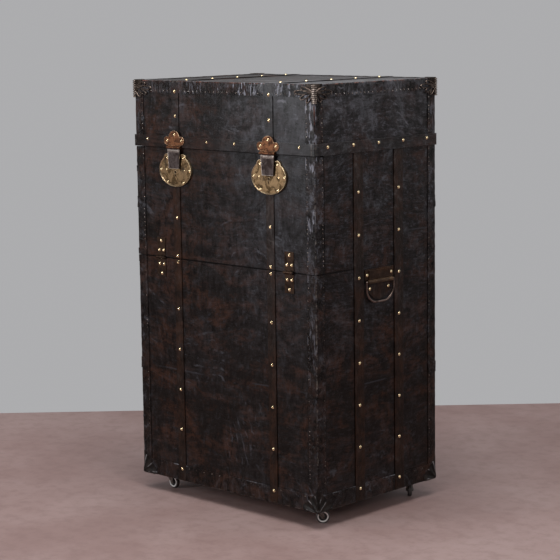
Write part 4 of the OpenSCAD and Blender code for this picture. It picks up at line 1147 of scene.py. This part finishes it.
def corner_tacks(ends, low, high):
    """Two rows for each upright corner, one on each wall."""
    rows, line = [], BINDING_W - 4
    for side in (-1, 1):
        for end in ends:
            for x, y, outward in ((side * (HALF_W - line), end * (HALF_D + TACK_OUT), (0, end, 0)),
                                  (side * (HALF_W + TACK_OUT), end * (HALF_D - line), (side, 0, 0))):
                rows.append(row_between((x, y, low), (x, y, high), outward, UPRIGHT_PITCH))
    return rows


def ring_tacks(z):
    """A row round the four walls of the lid."""
    x, y = HALF_W - BINDING_W - 1, HALF_D - BINDING_W - 1
    rows = []
    for s in (-1, 1):
        front, side = s * (HALF_D + TACK_OUT), s * (HALF_W + TACK_OUT)
        rows.append(row_between((-x, front, z), (x, front, z), (0, s, 0)))
        rows.append(row_between((side, -y, z), (side, y, z), (s, 0, 0)))
    return rows


def foot_tacks(z):
    """Short rows between the straps, along the upper edge of the foot binding."""
    rows = []
    for s in (-1, 1):
        front, side = s * (HALF_D + TACK_OUT), s * (HALF_W + TACK_OUT)
        for a, b in ((-250, -176), (-130, 130), (176, 250)):
            rows.append(row_between((a, front, z), (b, front, z), (0, s, 0), FOOT_PITCH))
        for a, b in ((48, 116), (168, 256), (308, 368)):
            rows.append(row_between((side, a - HALF_D, z), (side, b - HALF_D, z), (s, 0, 0), FOOT_PITCH))
    return rows


print("tacks of %.1f mm" % (2 * TACK_R))

# %% All rows of tacks
case_tacks = joined("case_tacks", corner_tacks([-1], 66, FRONT_TOP - 9) + corner_tacks([1], 66, JOINT - 8)
                    + foot_tacks(FOOT_H - 5))
dressed(case_tacks, DULL_TACK, "root")
flap_tacks = dressed(joined("flap_tacks", corner_tacks([-1], SEAM + 9, FLAP_TOP - 8)), TACK, "flap")
lid_tacks = joined("lid_tacks", corner_tacks([-1, 1], BAND_TOP + 6, EDGE_Z - 6) + ring_tacks(EDGE_Z + 5))
dressed(lid_tacks, TACK, "lid")
print("tacks:", sum(len(o.data.polygons) for o in (case_tacks, flap_tacks, lid_tacks)), "faces")

# %% [markdown]
# ## Lock plates
#
# Each lock plate is a pressed disc with two humps for shoulders, a raised rim and a keyhole. A filled circle is
# pushed out to the outline, which is worked out ray by ray as the furthest of its shapes, and then extruded and inset
# to make the rim. The keyhole is cut with a Boolean modifier.

# %% Pressed plates
def ray_reach(angle, circles=(), ellipse=None, corners=()):
    """How far a ray from the middle goes before it leaves the union of these shapes, in mm."""
    c, s = cos(angle), sin(angle)
    reach = 0.0
    if ellipse:
        reach = 1 / hypot(c / ellipse[0], s / ellipse[1])
    for x, y, r in circles:
        along = x * c + y * s
        inside = r * r - (x * x + y * y - along * along)
        if inside > 0:
            reach = max(reach, along + inside ** 0.5)
    for (x0, y0), (x1, y1) in zip(corners, corners[1:] + corners[:1]):
        dx, dy = x1 - x0, y1 - y0
        cross = c * dy - s * dx
        if abs(cross) > 1e-9:
            far, part = (x0 * dy - y0 * dx) / cross, (x0 * s - y0 * c) / cross
            if far > 0 and -1e-9 <= part <= 1 + 1e-9:
                reach = max(reach, far)
    return reach


def pressed_plate(name, thickness, steps, finishes, count=144, **shapes):
    """A plate in the XY plane with its face up, in mm sizes. steps are (inset, rise) pairs from the rim inwards, and
    finishes are for the face and for the rim, which takes in the first two steps."""
    bpy.ops.object.select_all(action="DESELECT")
    bpy.ops.mesh.primitive_circle_add(vertices=count, radius=1, fill_type="NGON")
    plate = bpy.context.object
    plate.name = name
    painted(plate, *finishes)
    for vertex in plate.data.vertices:
        angle = atan2(vertex.co.y, vertex.co.x)
        far = ray_reach(angle, **shapes)
        vertex.co = (far * cos(angle) * MM, far * sin(angle) * MM, 0)
    with editing(plate):
        bpy.ops.mesh.select_all(action="SELECT")
        bpy.ops.mesh.extrude_region_move(TRANSFORM_OT_translate={"value": (0, 0, thickness * MM)})
        for number, (inset, rise) in enumerate(steps):
            bpy.ops.mesh.inset(thickness=inset * MM, depth=rise * MM)
            if number == 1:
                bpy.ops.mesh.select_all(action="INVERT")
                plate.active_material_index = 1
                bpy.ops.object.material_slot_assign()
                bpy.ops.mesh.select_all(action="INVERT")
    return plate


def stand_up(obj, x, z, out):
    """Turns a flat plate onto the front wall, its face towards the viewer."""
    turn = Matrix.Rotation(radians(90), 4, "X")
    obj.data.transform(Matrix.Translation(place(x, -HALF_D - out, z)) @ turn)
    return obj


print("plate tools ready")

# %% Lock plates and keyholes
LOCK_Z, KEY_Y, KEY_R = JOINT - 52, -4.7, 2.6
locks = []
for side in (-1, 1):
    plate = pressed_plate("lock_plate", 5.2, [(1.1, 0), (1.5, -1.4), (3.0, 0.05), (6.0, 0.1)], (LOCK, RIM),
                          ellipse=(54, 39), circles=[(-27, 28, 10.5), (27, 28, 10.5)])
    softened(plate, 0.45, 2, 50)
    bpy.ops.mesh.primitive_cylinder_add(vertices=24, radius=KEY_R * MM, depth=20 * MM, location=(0, KEY_Y * MM, 0))
    keyhole = bpy.context.object
    bpy.ops.mesh.primitive_cube_add(size=1, location=(0, -10 * MM, 0), scale=(KEY_R * MM, 10 * MM, 20 * MM))
    slit = settle(bpy.context.object)
    keyhole = settle(joined("keyhole", [keyhole, slit]))
    modify(plate, "BOOLEAN", object=keyhole, operation="DIFFERENCE", solver="EXACT", use_self=True)
    bpy.data.objects.remove(keyhole)
    bpy.ops.mesh.primitive_torus_add(major_radius=4.0 * MM, minor_radius=0.8 * MM, major_segments=32,
                                     minor_segments=8, location=(0, KEY_Y * MM, 3.8 * MM))
    eye = painted(settle(bpy.context.object), RIM)
    locks.append(stand_up(joined("lock_plate", [plate, eye]), side * STRAP_X, LOCK_Z, 0))
lock_plates = dressed(joined("lock_plates_pressed", locks), LOCK, "flap", "lock_plates", angle=30)
print("lock plates:", len(lock_plates.data.polygons), "faces")

# %% [markdown]
# ## Hasps
#
# A hasp plate has three round lobes and carries the outer knuckles of the barrel. The tongue hangs from the middle
# knuckle: a tapered plate, bright where hands have rubbed its edges, with a thin rim turned back behind it. The rim
# is finished nearly black as painted shade, so that the plate behind mirrors it dark.

# %% Hasp plates
HASP_Y, HASP_Z = -HALF_D - 8.0, JOINT + 1.8
BARREL_R, ROLL_HALF = 3.6, 12


def knuckle(name, x0, x1, radius, y, z):
    """A short barrel along X with softened ends."""
    bpy.ops.object.select_all(action="DESELECT")
    bpy.ops.mesh.primitive_cylinder_add(vertices=32, radius=radius * MM, depth=(x1 - x0) * MM,
                                        location=place((x0 + x1) / 2, y, z), rotation=(0, radians(90), 0))
    bpy.context.object.name = name
    return softened(settle(bpy.context.object), 0.5, 2, 50)


plates = []
middle = LID_BOTTOM + 16.5
neck = HASP_Z + BARREL_R + 0.2 - middle
for x in (-STRAP_X, STRAP_X):
    plate = pressed_plate("hasp_plate", 2.7, [(0.8, 0), (1.0, -0.9)], (COPPER, COPPER_RIM),
                          circles=[(0, 5, 19), (-24, 0, 10.2), (24, 0, 10.2)],
                          corners=[(-21.5, neck), (21.5, neck), (29, -4), (-29, -4)])
    softened(plate, 0.35, 2, 50)
    plates.append(stand_up(plate, x, middle, BAND_T))
    for low, high in ((-23, -12.4), (12.4, 23)):
        plates.append(painted(knuckle("hasp_knuckle", x + low, x + high, BARREL_R, HASP_Y, HASP_Z), COPPER))
        web = block("hasp_web", (x + low, HASP_Y + 1.2, HASP_Z),
                    (x + high, -HALF_D - BAND_T, HASP_Z + BARREL_R + 1.2))
        plates.append(painted(softened(web, 0.4, 1, 50), COPPER))
hasps = dressed(joined("hasp_plates_pressed", plates), COPPER, "lid", "hasp_plates", angle=30)
print("hasps:", len(hasps.data.polygons), "faces")

# %% Tongues
TONGUE_END, TONGUE_HALF, TAPER = HASP_Z - 50, 21, 35 / 42


def tapered(obj, x):
    """Draws the lower end of a part of the tongue in."""
    with editing(obj, "VERT") as edit:
        edit.pick(lambda at, n: at.z < HASP_Z - 30)
        bpy.ops.transform.resize(value=(TAPER, 1, 1), center_override=place(x, HASP_Y, TONGUE_END))


for hand, x in (("left", -STRAP_X), ("right", STRAP_X)):
    tongue = block("hasp_tongue", (x - TONGUE_HALF, HASP_Y - 1.1, TONGUE_END),
                   (x + TONGUE_HALF, HASP_Y + 1.1, HASP_Z - 4.4))
    tapered(tongue, x)
    cut_at(tongue, 2, HASP_Z - 8.5, HASP_Z - 10.5)
    painted(tongue, TONGUE, STEEL_RIM)
    with editing(tongue) as edit:
        edit.pick(lambda at, n: n.y < -0.5 and at.z < HASP_Z - 10)
        bpy.ops.mesh.inset(thickness=1.1 * MM, depth=-0.6 * MM)
        bpy.ops.mesh.select_all(action="INVERT")
        tongue.active_material_index = 1
        bpy.ops.object.material_slot_assign()
    softened(tongue, 0.45, 2, 40)
    rim = block("tongue_rim", (x - TONGUE_HALF + 1, HASP_Y + 1.0, TONGUE_END + 1.5),
                (x + TONGUE_HALF - 1, HASP_Y + 1.9, HASP_Z - 5.5))
    tapered(rim, x)
    with editing(rim) as edit:
        edit.pick(lambda at, n: n.y > 0.5)
        bpy.ops.mesh.inset(thickness=1.6 * MM, depth=0)
        bpy.ops.mesh.extrude_region_move(TRANSFORM_OT_translate={"value": (0, -0.8 * MM, 0)})
    roll = knuckle("tongue_knuckle", x - ROLL_HALF, x + ROLL_HALF, BARREL_R, HASP_Y, HASP_Z)
    stem = block("tongue_stem", (x - ROLL_HALF, HASP_Y - 1.1, HASP_Z - 5.2),
                 (x + ROLL_HALF, HASP_Y + 1.1, HASP_Z - 1))
    # The rim takes the nearly black iron finish as painted shade behind the tongue, which the plate mirrors.
    parts = [tongue, painted(rim, IRON), painted(roll, COPPER), painted(stem, TONGUE)]
    dressed(joined("hasp_tongue_" + hand + "_plate", parts), TONGUE, "hasp_" + hand, "hasp_tongue_" + hand, angle=30)
print("tongues: 2, each %.0f mm long" % (HASP_Z - TONGUE_END))

# %% [markdown]
# ## Ring handles
#
# The ring and its nails come from the imported model. The leather tab is two layers, folded round the ring's bar as a
# tube that is painted a paler golden brown, partly as rubbed wear and partly as a painted highlight along its
# curve, and a shield of leather lies behind the ring.

# %% Handle tabs and backings
HANDLE_Y, HANDLE_Z, BAR_OUT = -HALF_D + 212, 506, 4.55
LAYERS = [("tab_layer", -0.3, 2.0, 50, 5, 29), ("tab_fold", 1.8, 4.0, 37, 1, 26.5)]
tabs, backings = [], []
for side in (-1, 1):
    layers = []
    for name, inner, outer, half, low, high in LAYERS:
        xs = sorted((side * (HALF_W + inner), side * (HALF_W + outer)))
        layers.append(block(name, (xs[0], HANDLE_Y - half, HANDLE_Z + low),
                            (xs[1], HANDLE_Y + half, HANDLE_Z + high)))
    bpy.ops.object.select_all(action="DESELECT")
    bpy.ops.mesh.primitive_cylinder_add(vertices=32, radius=4.5 * MM, depth=87 * MM, end_fill_type="NOTHING",
                                        location=place(side * (HALF_W + BAR_OUT), HANDLE_Y, HANDLE_Z),
                                        rotation=(radians(90), 0, 0))
    loop = walled(settle(bpy.context.object), 1.9)
    for part in layers:
        softened(painted(part, TAB), 0.6, 2, 50)
        cut_at(part, 1, *slices(HANDLE_Y - 43, HANDLE_Y + 43, 8))
        ripple(part, 0.5, 22, 40.0 + side)
    # The roll's paler finish is partly rubbed wear and partly a painted highlight.
    softened(painted(loop, ROLL), 0.4, 2, 50)
    tabs += [*layers, loop]
    shield = pressed_plate("handle_shield", 1.7, [(1.4, 0), (0.5, -0.2)], (STRAP, STRAP), count=96,
                           corners=[(-38, 18), (38, 18), (38, -1), (19, -16.5), (0, -21), (-19, -16.5), (-38, -1)])
    softened(shield, 0.4, 2, 50)
    turn = Matrix.Rotation(radians(90 * side), 4, "Z") @ Matrix.Rotation(radians(90), 4, "X")
    shield.data.transform(Matrix.Translation(place(side * HALF_W, HANDLE_Y, HANDLE_Z - 23)) @ turn)
    backings.append(shield)
dressed(joined("handle_tabs_leather", tabs), TAB, "root", "handle_tabs")
dressed(joined("handle_shields", backings), BINDING, "root", "handle_backings", angle=30)
print("handles done")

# %% [markdown]
# ## Corner caps
#
# The top caps are pressed metal: a shell over the corner, a ribbed ridge down the edge, and loops that fan out over
# both walls like petals. Each loop is a circle drawn in to a drop, made a curve, given a round section and made a
# mesh again. One corner is modelled, and the others are mirrored copies.

# %% Top corner caps
def corner_shell(name, reach, out, low, bottom=False):
    """Three faces round a corner at the front right, each cut into small faces."""
    z0, z1 = (-out, low) if bottom else (TOP - low, TOP + out)
    shell = block(name, (HALF_W - reach, -HALF_D - out, z0), (HALF_W + out, -HALF_D + reach, z1))
    remove_faces(shell, lambda at, n: n.x < -0.5 or n.y > 0.5 or (n.z > 0.5 if bottom else n.z < -0.5))
    with editing(shell, "EDGE"):
        bpy.ops.mesh.select_all(action="SELECT")
        bpy.ops.mesh.subdivide(number_cuts=11)
    return shell


def rounded(shell, reach, out):
    """Draws the square outline of each face in to a quarter circle round the top corner."""
    corner = Vector((HALF_W + out, -HALF_D - out, TOP + out))
    for vertex in shell.data.vertices:
        away = on_case(vertex.co) - corner
        if away.length > 1e-6 * reach:
            away = away * (max(abs(away.x), abs(away.y), abs(away.z)) / away.length)
        vertex.co = place(*(corner + away))
    return shell


def at_all_corners(name, piece):
    """The piece of the front right corner, mirrored to the left and then to the back."""
    pieces = [piece, twin(piece, 0)]
    pieces += [twin(other, 1) for other in list(pieces)]
    return joined(name, pieces)


def petal(length, width, angle):
    """A loop of wire shaped like a drop, its point in the middle and its round end outwards, in the XY plane."""
    bpy.ops.object.select_all(action="DESELECT")
    bpy.ops.mesh.primitive_circle_add(vertices=24, radius=1, fill_type="NOTHING")
    loop = bpy.context.object
    for vertex in loop.data.vertices:
        out = (1 + vertex.co.x) / 2
        vertex.co = (length * out * MM, width / 2 * 1.1 * vertex.co.y * out ** 0.5 * MM, 0)
    only(loop)
    bpy.ops.object.convert(target="CURVE")
    loop = bpy.context.object
    loop.data.dimensions = "3D"
    loop.data.bevel_depth = 1.3 * MM
    loop.data.bevel_resolution = 1
    bpy.ops.object.convert(target="MESH")
    loop = bpy.context.object
    loop.data.transform(Matrix.Rotation(radians(angle), 4, "Z"))
    return loop


print("corner tools ready")

# %% Top cap of one corner, mirrored to the others
CAP_OUT, CAP_REACH, WIRE_OUT = 2.4, 24, 2.7
FAN = [(38, 10.4, -15), (57, 10.4, 0), (42, 10.4, 20), (30, 9.6, 48)]
FAN_Z = TOP - 16.4
shell = rounded(corner_shell("cap_shell", CAP_REACH, CAP_OUT, CAP_REACH), CAP_REACH, CAP_OUT)
walled(shell, 1.4)
parts = [painted(softened(shell, 0.5, 1, 50), CAP)]
for length, width, angle in FAN:
    front = petal(length, width, angle)
    front.data.transform(Matrix.Translation(place(HALF_W, -HALF_D - WIRE_OUT, FAN_Z))
                         @ Matrix.Rotation(radians(90), 4, "X") @ Matrix.Rotation(radians(180), 4, "Z"))
    side = petal(length * 0.94, width, -angle)
    side.data.transform(Matrix.Translation(place(HALF_W + WIRE_OUT, -HALF_D, FAN_Z))
                        @ Matrix.Rotation(radians(90), 4, "Z") @ Matrix.Rotation(radians(90), 4, "X"))
    parts += [painted(front, CAP_WIRE), painted(side, CAP_WIRE)]
rod = block("cap_rod", (HALF_W - 3, -HALF_D - 3.6, TOP - 40), (HALF_W + 3.6, -HALF_D + 3, TOP + 1))
parts.append(painted(softened(rod, 0.8, 1, 50), CAP))
rib = block("cap_rib", (HALF_W - 4, -HALF_D - 4.9, TOP - 2.6), (HALF_W + 4.9, -HALF_D + 4, TOP + 0.1))
softened(rib, 0.9, 2, 50)
painted(rib, CAP_RIB)
parts.append(modify(rib, "ARRAY", count=10, use_relative_offset=False, use_constant_offset=True,
                    constant_offset_displace=(0, 0, -4.2 * MM)))
top_caps = dressed(at_all_corners("top_corner_caps_pressed", joined("top_cap", parts)), CAP, "lid",
                   "top_corner_caps", angle=45)
print("top caps:", len(top_caps.data.polygons), "faces")

# %% [markdown]
# ## Bottom corner caps
#
# The lower corners wear a boot of black iron. It is widest at the very bottom, where it swells past the case, and it
# runs up the edge to a point, with creases that fan out from the corner.

# %% Bottom corner caps
BOOT_W, BOOT_H, BOOT_OUT = 46, 60, 2.2
FOLDS, FOLD_DEPTH, SWELL, SWELL_H, SOLE = 10, 0.9, 4.2, 26, 0.72
edge_x, edge_y, boot_reach = HALF_W + BOOT_OUT, -HALF_D - BOOT_OUT, BOOT_W + BOOT_OUT
boot = corner_shell("boot", BOOT_W, BOOT_OUT, BOOT_H, bottom=True)
for vertex in boot.data.vertices:
    at = on_case(vertex.co)
    in_x, in_y = edge_x - at.x, at.y - edge_y
    if at.z > -BOOT_OUT + 0.1:
        along = min(1.0, max(in_x, in_y, 0.0) / boot_reach)
        up = max(0.0, at.z) / BOOT_H
        at.z = max(at.z, 0) * (1.0 - 0.80 * along ** 0.75)
        fold = FOLD_DEPTH * sin(FOLDS * atan2(at.z + 2, along * BOOT_W + 2))
        bulge = SWELL * max(0.0, 1 - at.z / SWELL_H) ** 2 * (1 - along) + fold * (1 - up) * min(1, 4 * along)
        if in_x < 0.5:
            at.x += bulge
        if in_y < 0.5:
            at.y -= bulge
    else:
        pull = max(in_x, in_y) / max(hypot(in_x, in_y), 1e-6 * boot_reach)
        drawn_in = (0.35 + 0.65 * pull) * SOLE
        at.x, at.y = edge_x - in_x * drawn_in, edge_y + in_y * drawn_in
    vertex.co = place(*at)
with editing(boot):
    bpy.ops.mesh.select_all(action="SELECT")
    bpy.ops.mesh.vertices_smooth(factor=0.5, repeat=2)
modify(boot, "SUBSURF", levels=1, render_levels=1)
walled(boot, 1.6)
boots = dressed(at_all_corners("bottom_corner_caps_boots", boot), BOOT_IRON, "root", "bottom_corner_caps", angle=50)
print("bottom caps:", len(boots.data.polygons), "faces")

# %% [markdown]
# ## Floor, light and camera
#
# A plain dusty floor ends in a straight line behind the trunk, and beyond it the world gives an even pale grey.
# Four soft lamps light the trunk: a large key at the front left, which the front mirrors towards its top right, a
# fill for the side, a weak rim for the back edge, and a wide one above, which lights the lid and gives the floor its
# shadow. For mirrored rays the world is pale behind the trunk and dim in front of it, so the front stays dark. The
# camera was fitted to the edges of the case, so its place and lens are measured values.

# %% Floor
FLOOR_FRONT, FLOOR_BACK, FLOOR_WIDTH, FLOOR_SKEW = -7.0, 0.923, 14, 1.1
VIEW_TURN, VIEW_DOWN, VIEW_ROLL = radians(43.76), radians(8.55), radians(-0.78)
bpy.ops.object.select_all(action="DESELECT")
bpy.ops.mesh.primitive_plane_add(size=1)
floor = bpy.context.object
floor.name = "studio_floor"
floor.data.transform(Matrix.Rotation(VIEW_TURN + radians(FLOOR_SKEW), 4, "Z")
                     @ Matrix.Translation((0, (FLOOR_FRONT + FLOOR_BACK) / 2, 0))
                     @ Matrix.Diagonal((FLOOR_WIDTH, FLOOR_BACK - FLOOR_FRONT, 1, 1)))
paving = Finish("pale_floor")
cloudy = paving.noise(2.2, 5, 0.6)
speckled = paving.noise(26, 6, 0.7, at=paving.stretched(1, 1, 1, (2, 5, 0))).fade(0.42, 0.66)
dusty = paving.blend(cloudy.fade(0.35, 0.65), (0.242, 0.156, 0.146), (0.306, 0.216, 0.206))
floor.data.materials.append(paving.done(colour=paving.blend(speckled * 0.35, dusty, (0.168, 0.103, 0.096)),
                                        rough=0.62 + (cloudy - 0.5) * 0.2))
print("floor: %.1f m deep, its end %.2f m behind the trunk's middle" % (FLOOR_BACK - FLOOR_FRONT, FLOOR_BACK))

# %% World and lamps
world = bpy.data.worlds.new("studio")
bpy.context.scene.world = world
sky = Graph(world)
PALE, DIM = (0.415, 0.415, 0.425), (0.085, 0.085, 0.09)
BACKWARDS = (-0.15, 0.989, 0)
direction = sky.node("ShaderNodeTexCoord", out="Generated")
facing = sky.node("ShaderNodeVectorMath", {"operation": "DOT_PRODUCT"}, {0: direction, 1: BACKWARDS}, "Value")
seen = sky.node("ShaderNodeLightPath", out="Is Camera Ray")
sky.feed(sky.tree.nodes["Background"].inputs["Color"], sky.blend(facing.fade(0.1, 0.7).most(seen), DIM, PALE))


def softbox(name, at, aim, width, height, watts, colour=(1, 1, 1)):
    """A soft rectangular lamp at one place, aimed at another."""
    lamp = bpy.data.lights.new(name, "AREA")
    lamp.shape = "RECTANGLE"
    lamp.size, lamp.size_y, lamp.energy, lamp.color = width, height, watts, colour
    holder = bpy.data.objects.new(name, lamp)
    bpy.context.scene.collection.objects.link(holder)
    holder.location = at
    holder.rotation_euler = (Vector(aim) - Vector(at)).to_track_quat("-Z", "Y").to_euler()


softbox("key", (-1.6, -3.1, 1.45), (0.1, -0.2, 0.8), 0.8, 1.3, 50, (0.97, 0.985, 1.0))
softbox("fill", (3.2, -1.0, 1.9), (0.2, 0, 0.6), 1.2, 1.2, 22)
softbox("rim", (2.7, 2.0, 1.7), (0.29, 0, 0.9), 1.0, 1.0, 7)
softbox("top", (0.4, -0.6, 3.2), (0, 0, 0), 2.2, 2.2, 104, (1.0, 0.98, 0.955))
print("lamps:", ", ".join(sorted(lamp.name for lamp in bpy.data.lights)))

# %% Camera at the photograph's view
camera = bpy.data.objects.new("camera", bpy.data.cameras.new("camera"))
bpy.context.scene.collection.objects.link(camera)
PHOTO_WIDTH, FOCAL_LENGTH = 560, 1831
camera.data.sensor_width = 36
camera.data.lens = 36 * FOCAL_LENGTH / PHOTO_WIDTH
turn = (Matrix.Rotation(VIEW_TURN, 4, "Z") @ Matrix.Rotation(pi / 2 - VIEW_DOWN, 4, "X")
        @ Matrix.Rotation(VIEW_ROLL, 4, "Z"))
camera.matrix_world = Matrix.Translation((2.999, -3.1503, 1.174)) @ turn
bpy.context.scene.camera = camera
bpy.context.scene.view_settings.view_transform = "Standard"
print("camera: lens %.1f mm" % camera.data.lens)
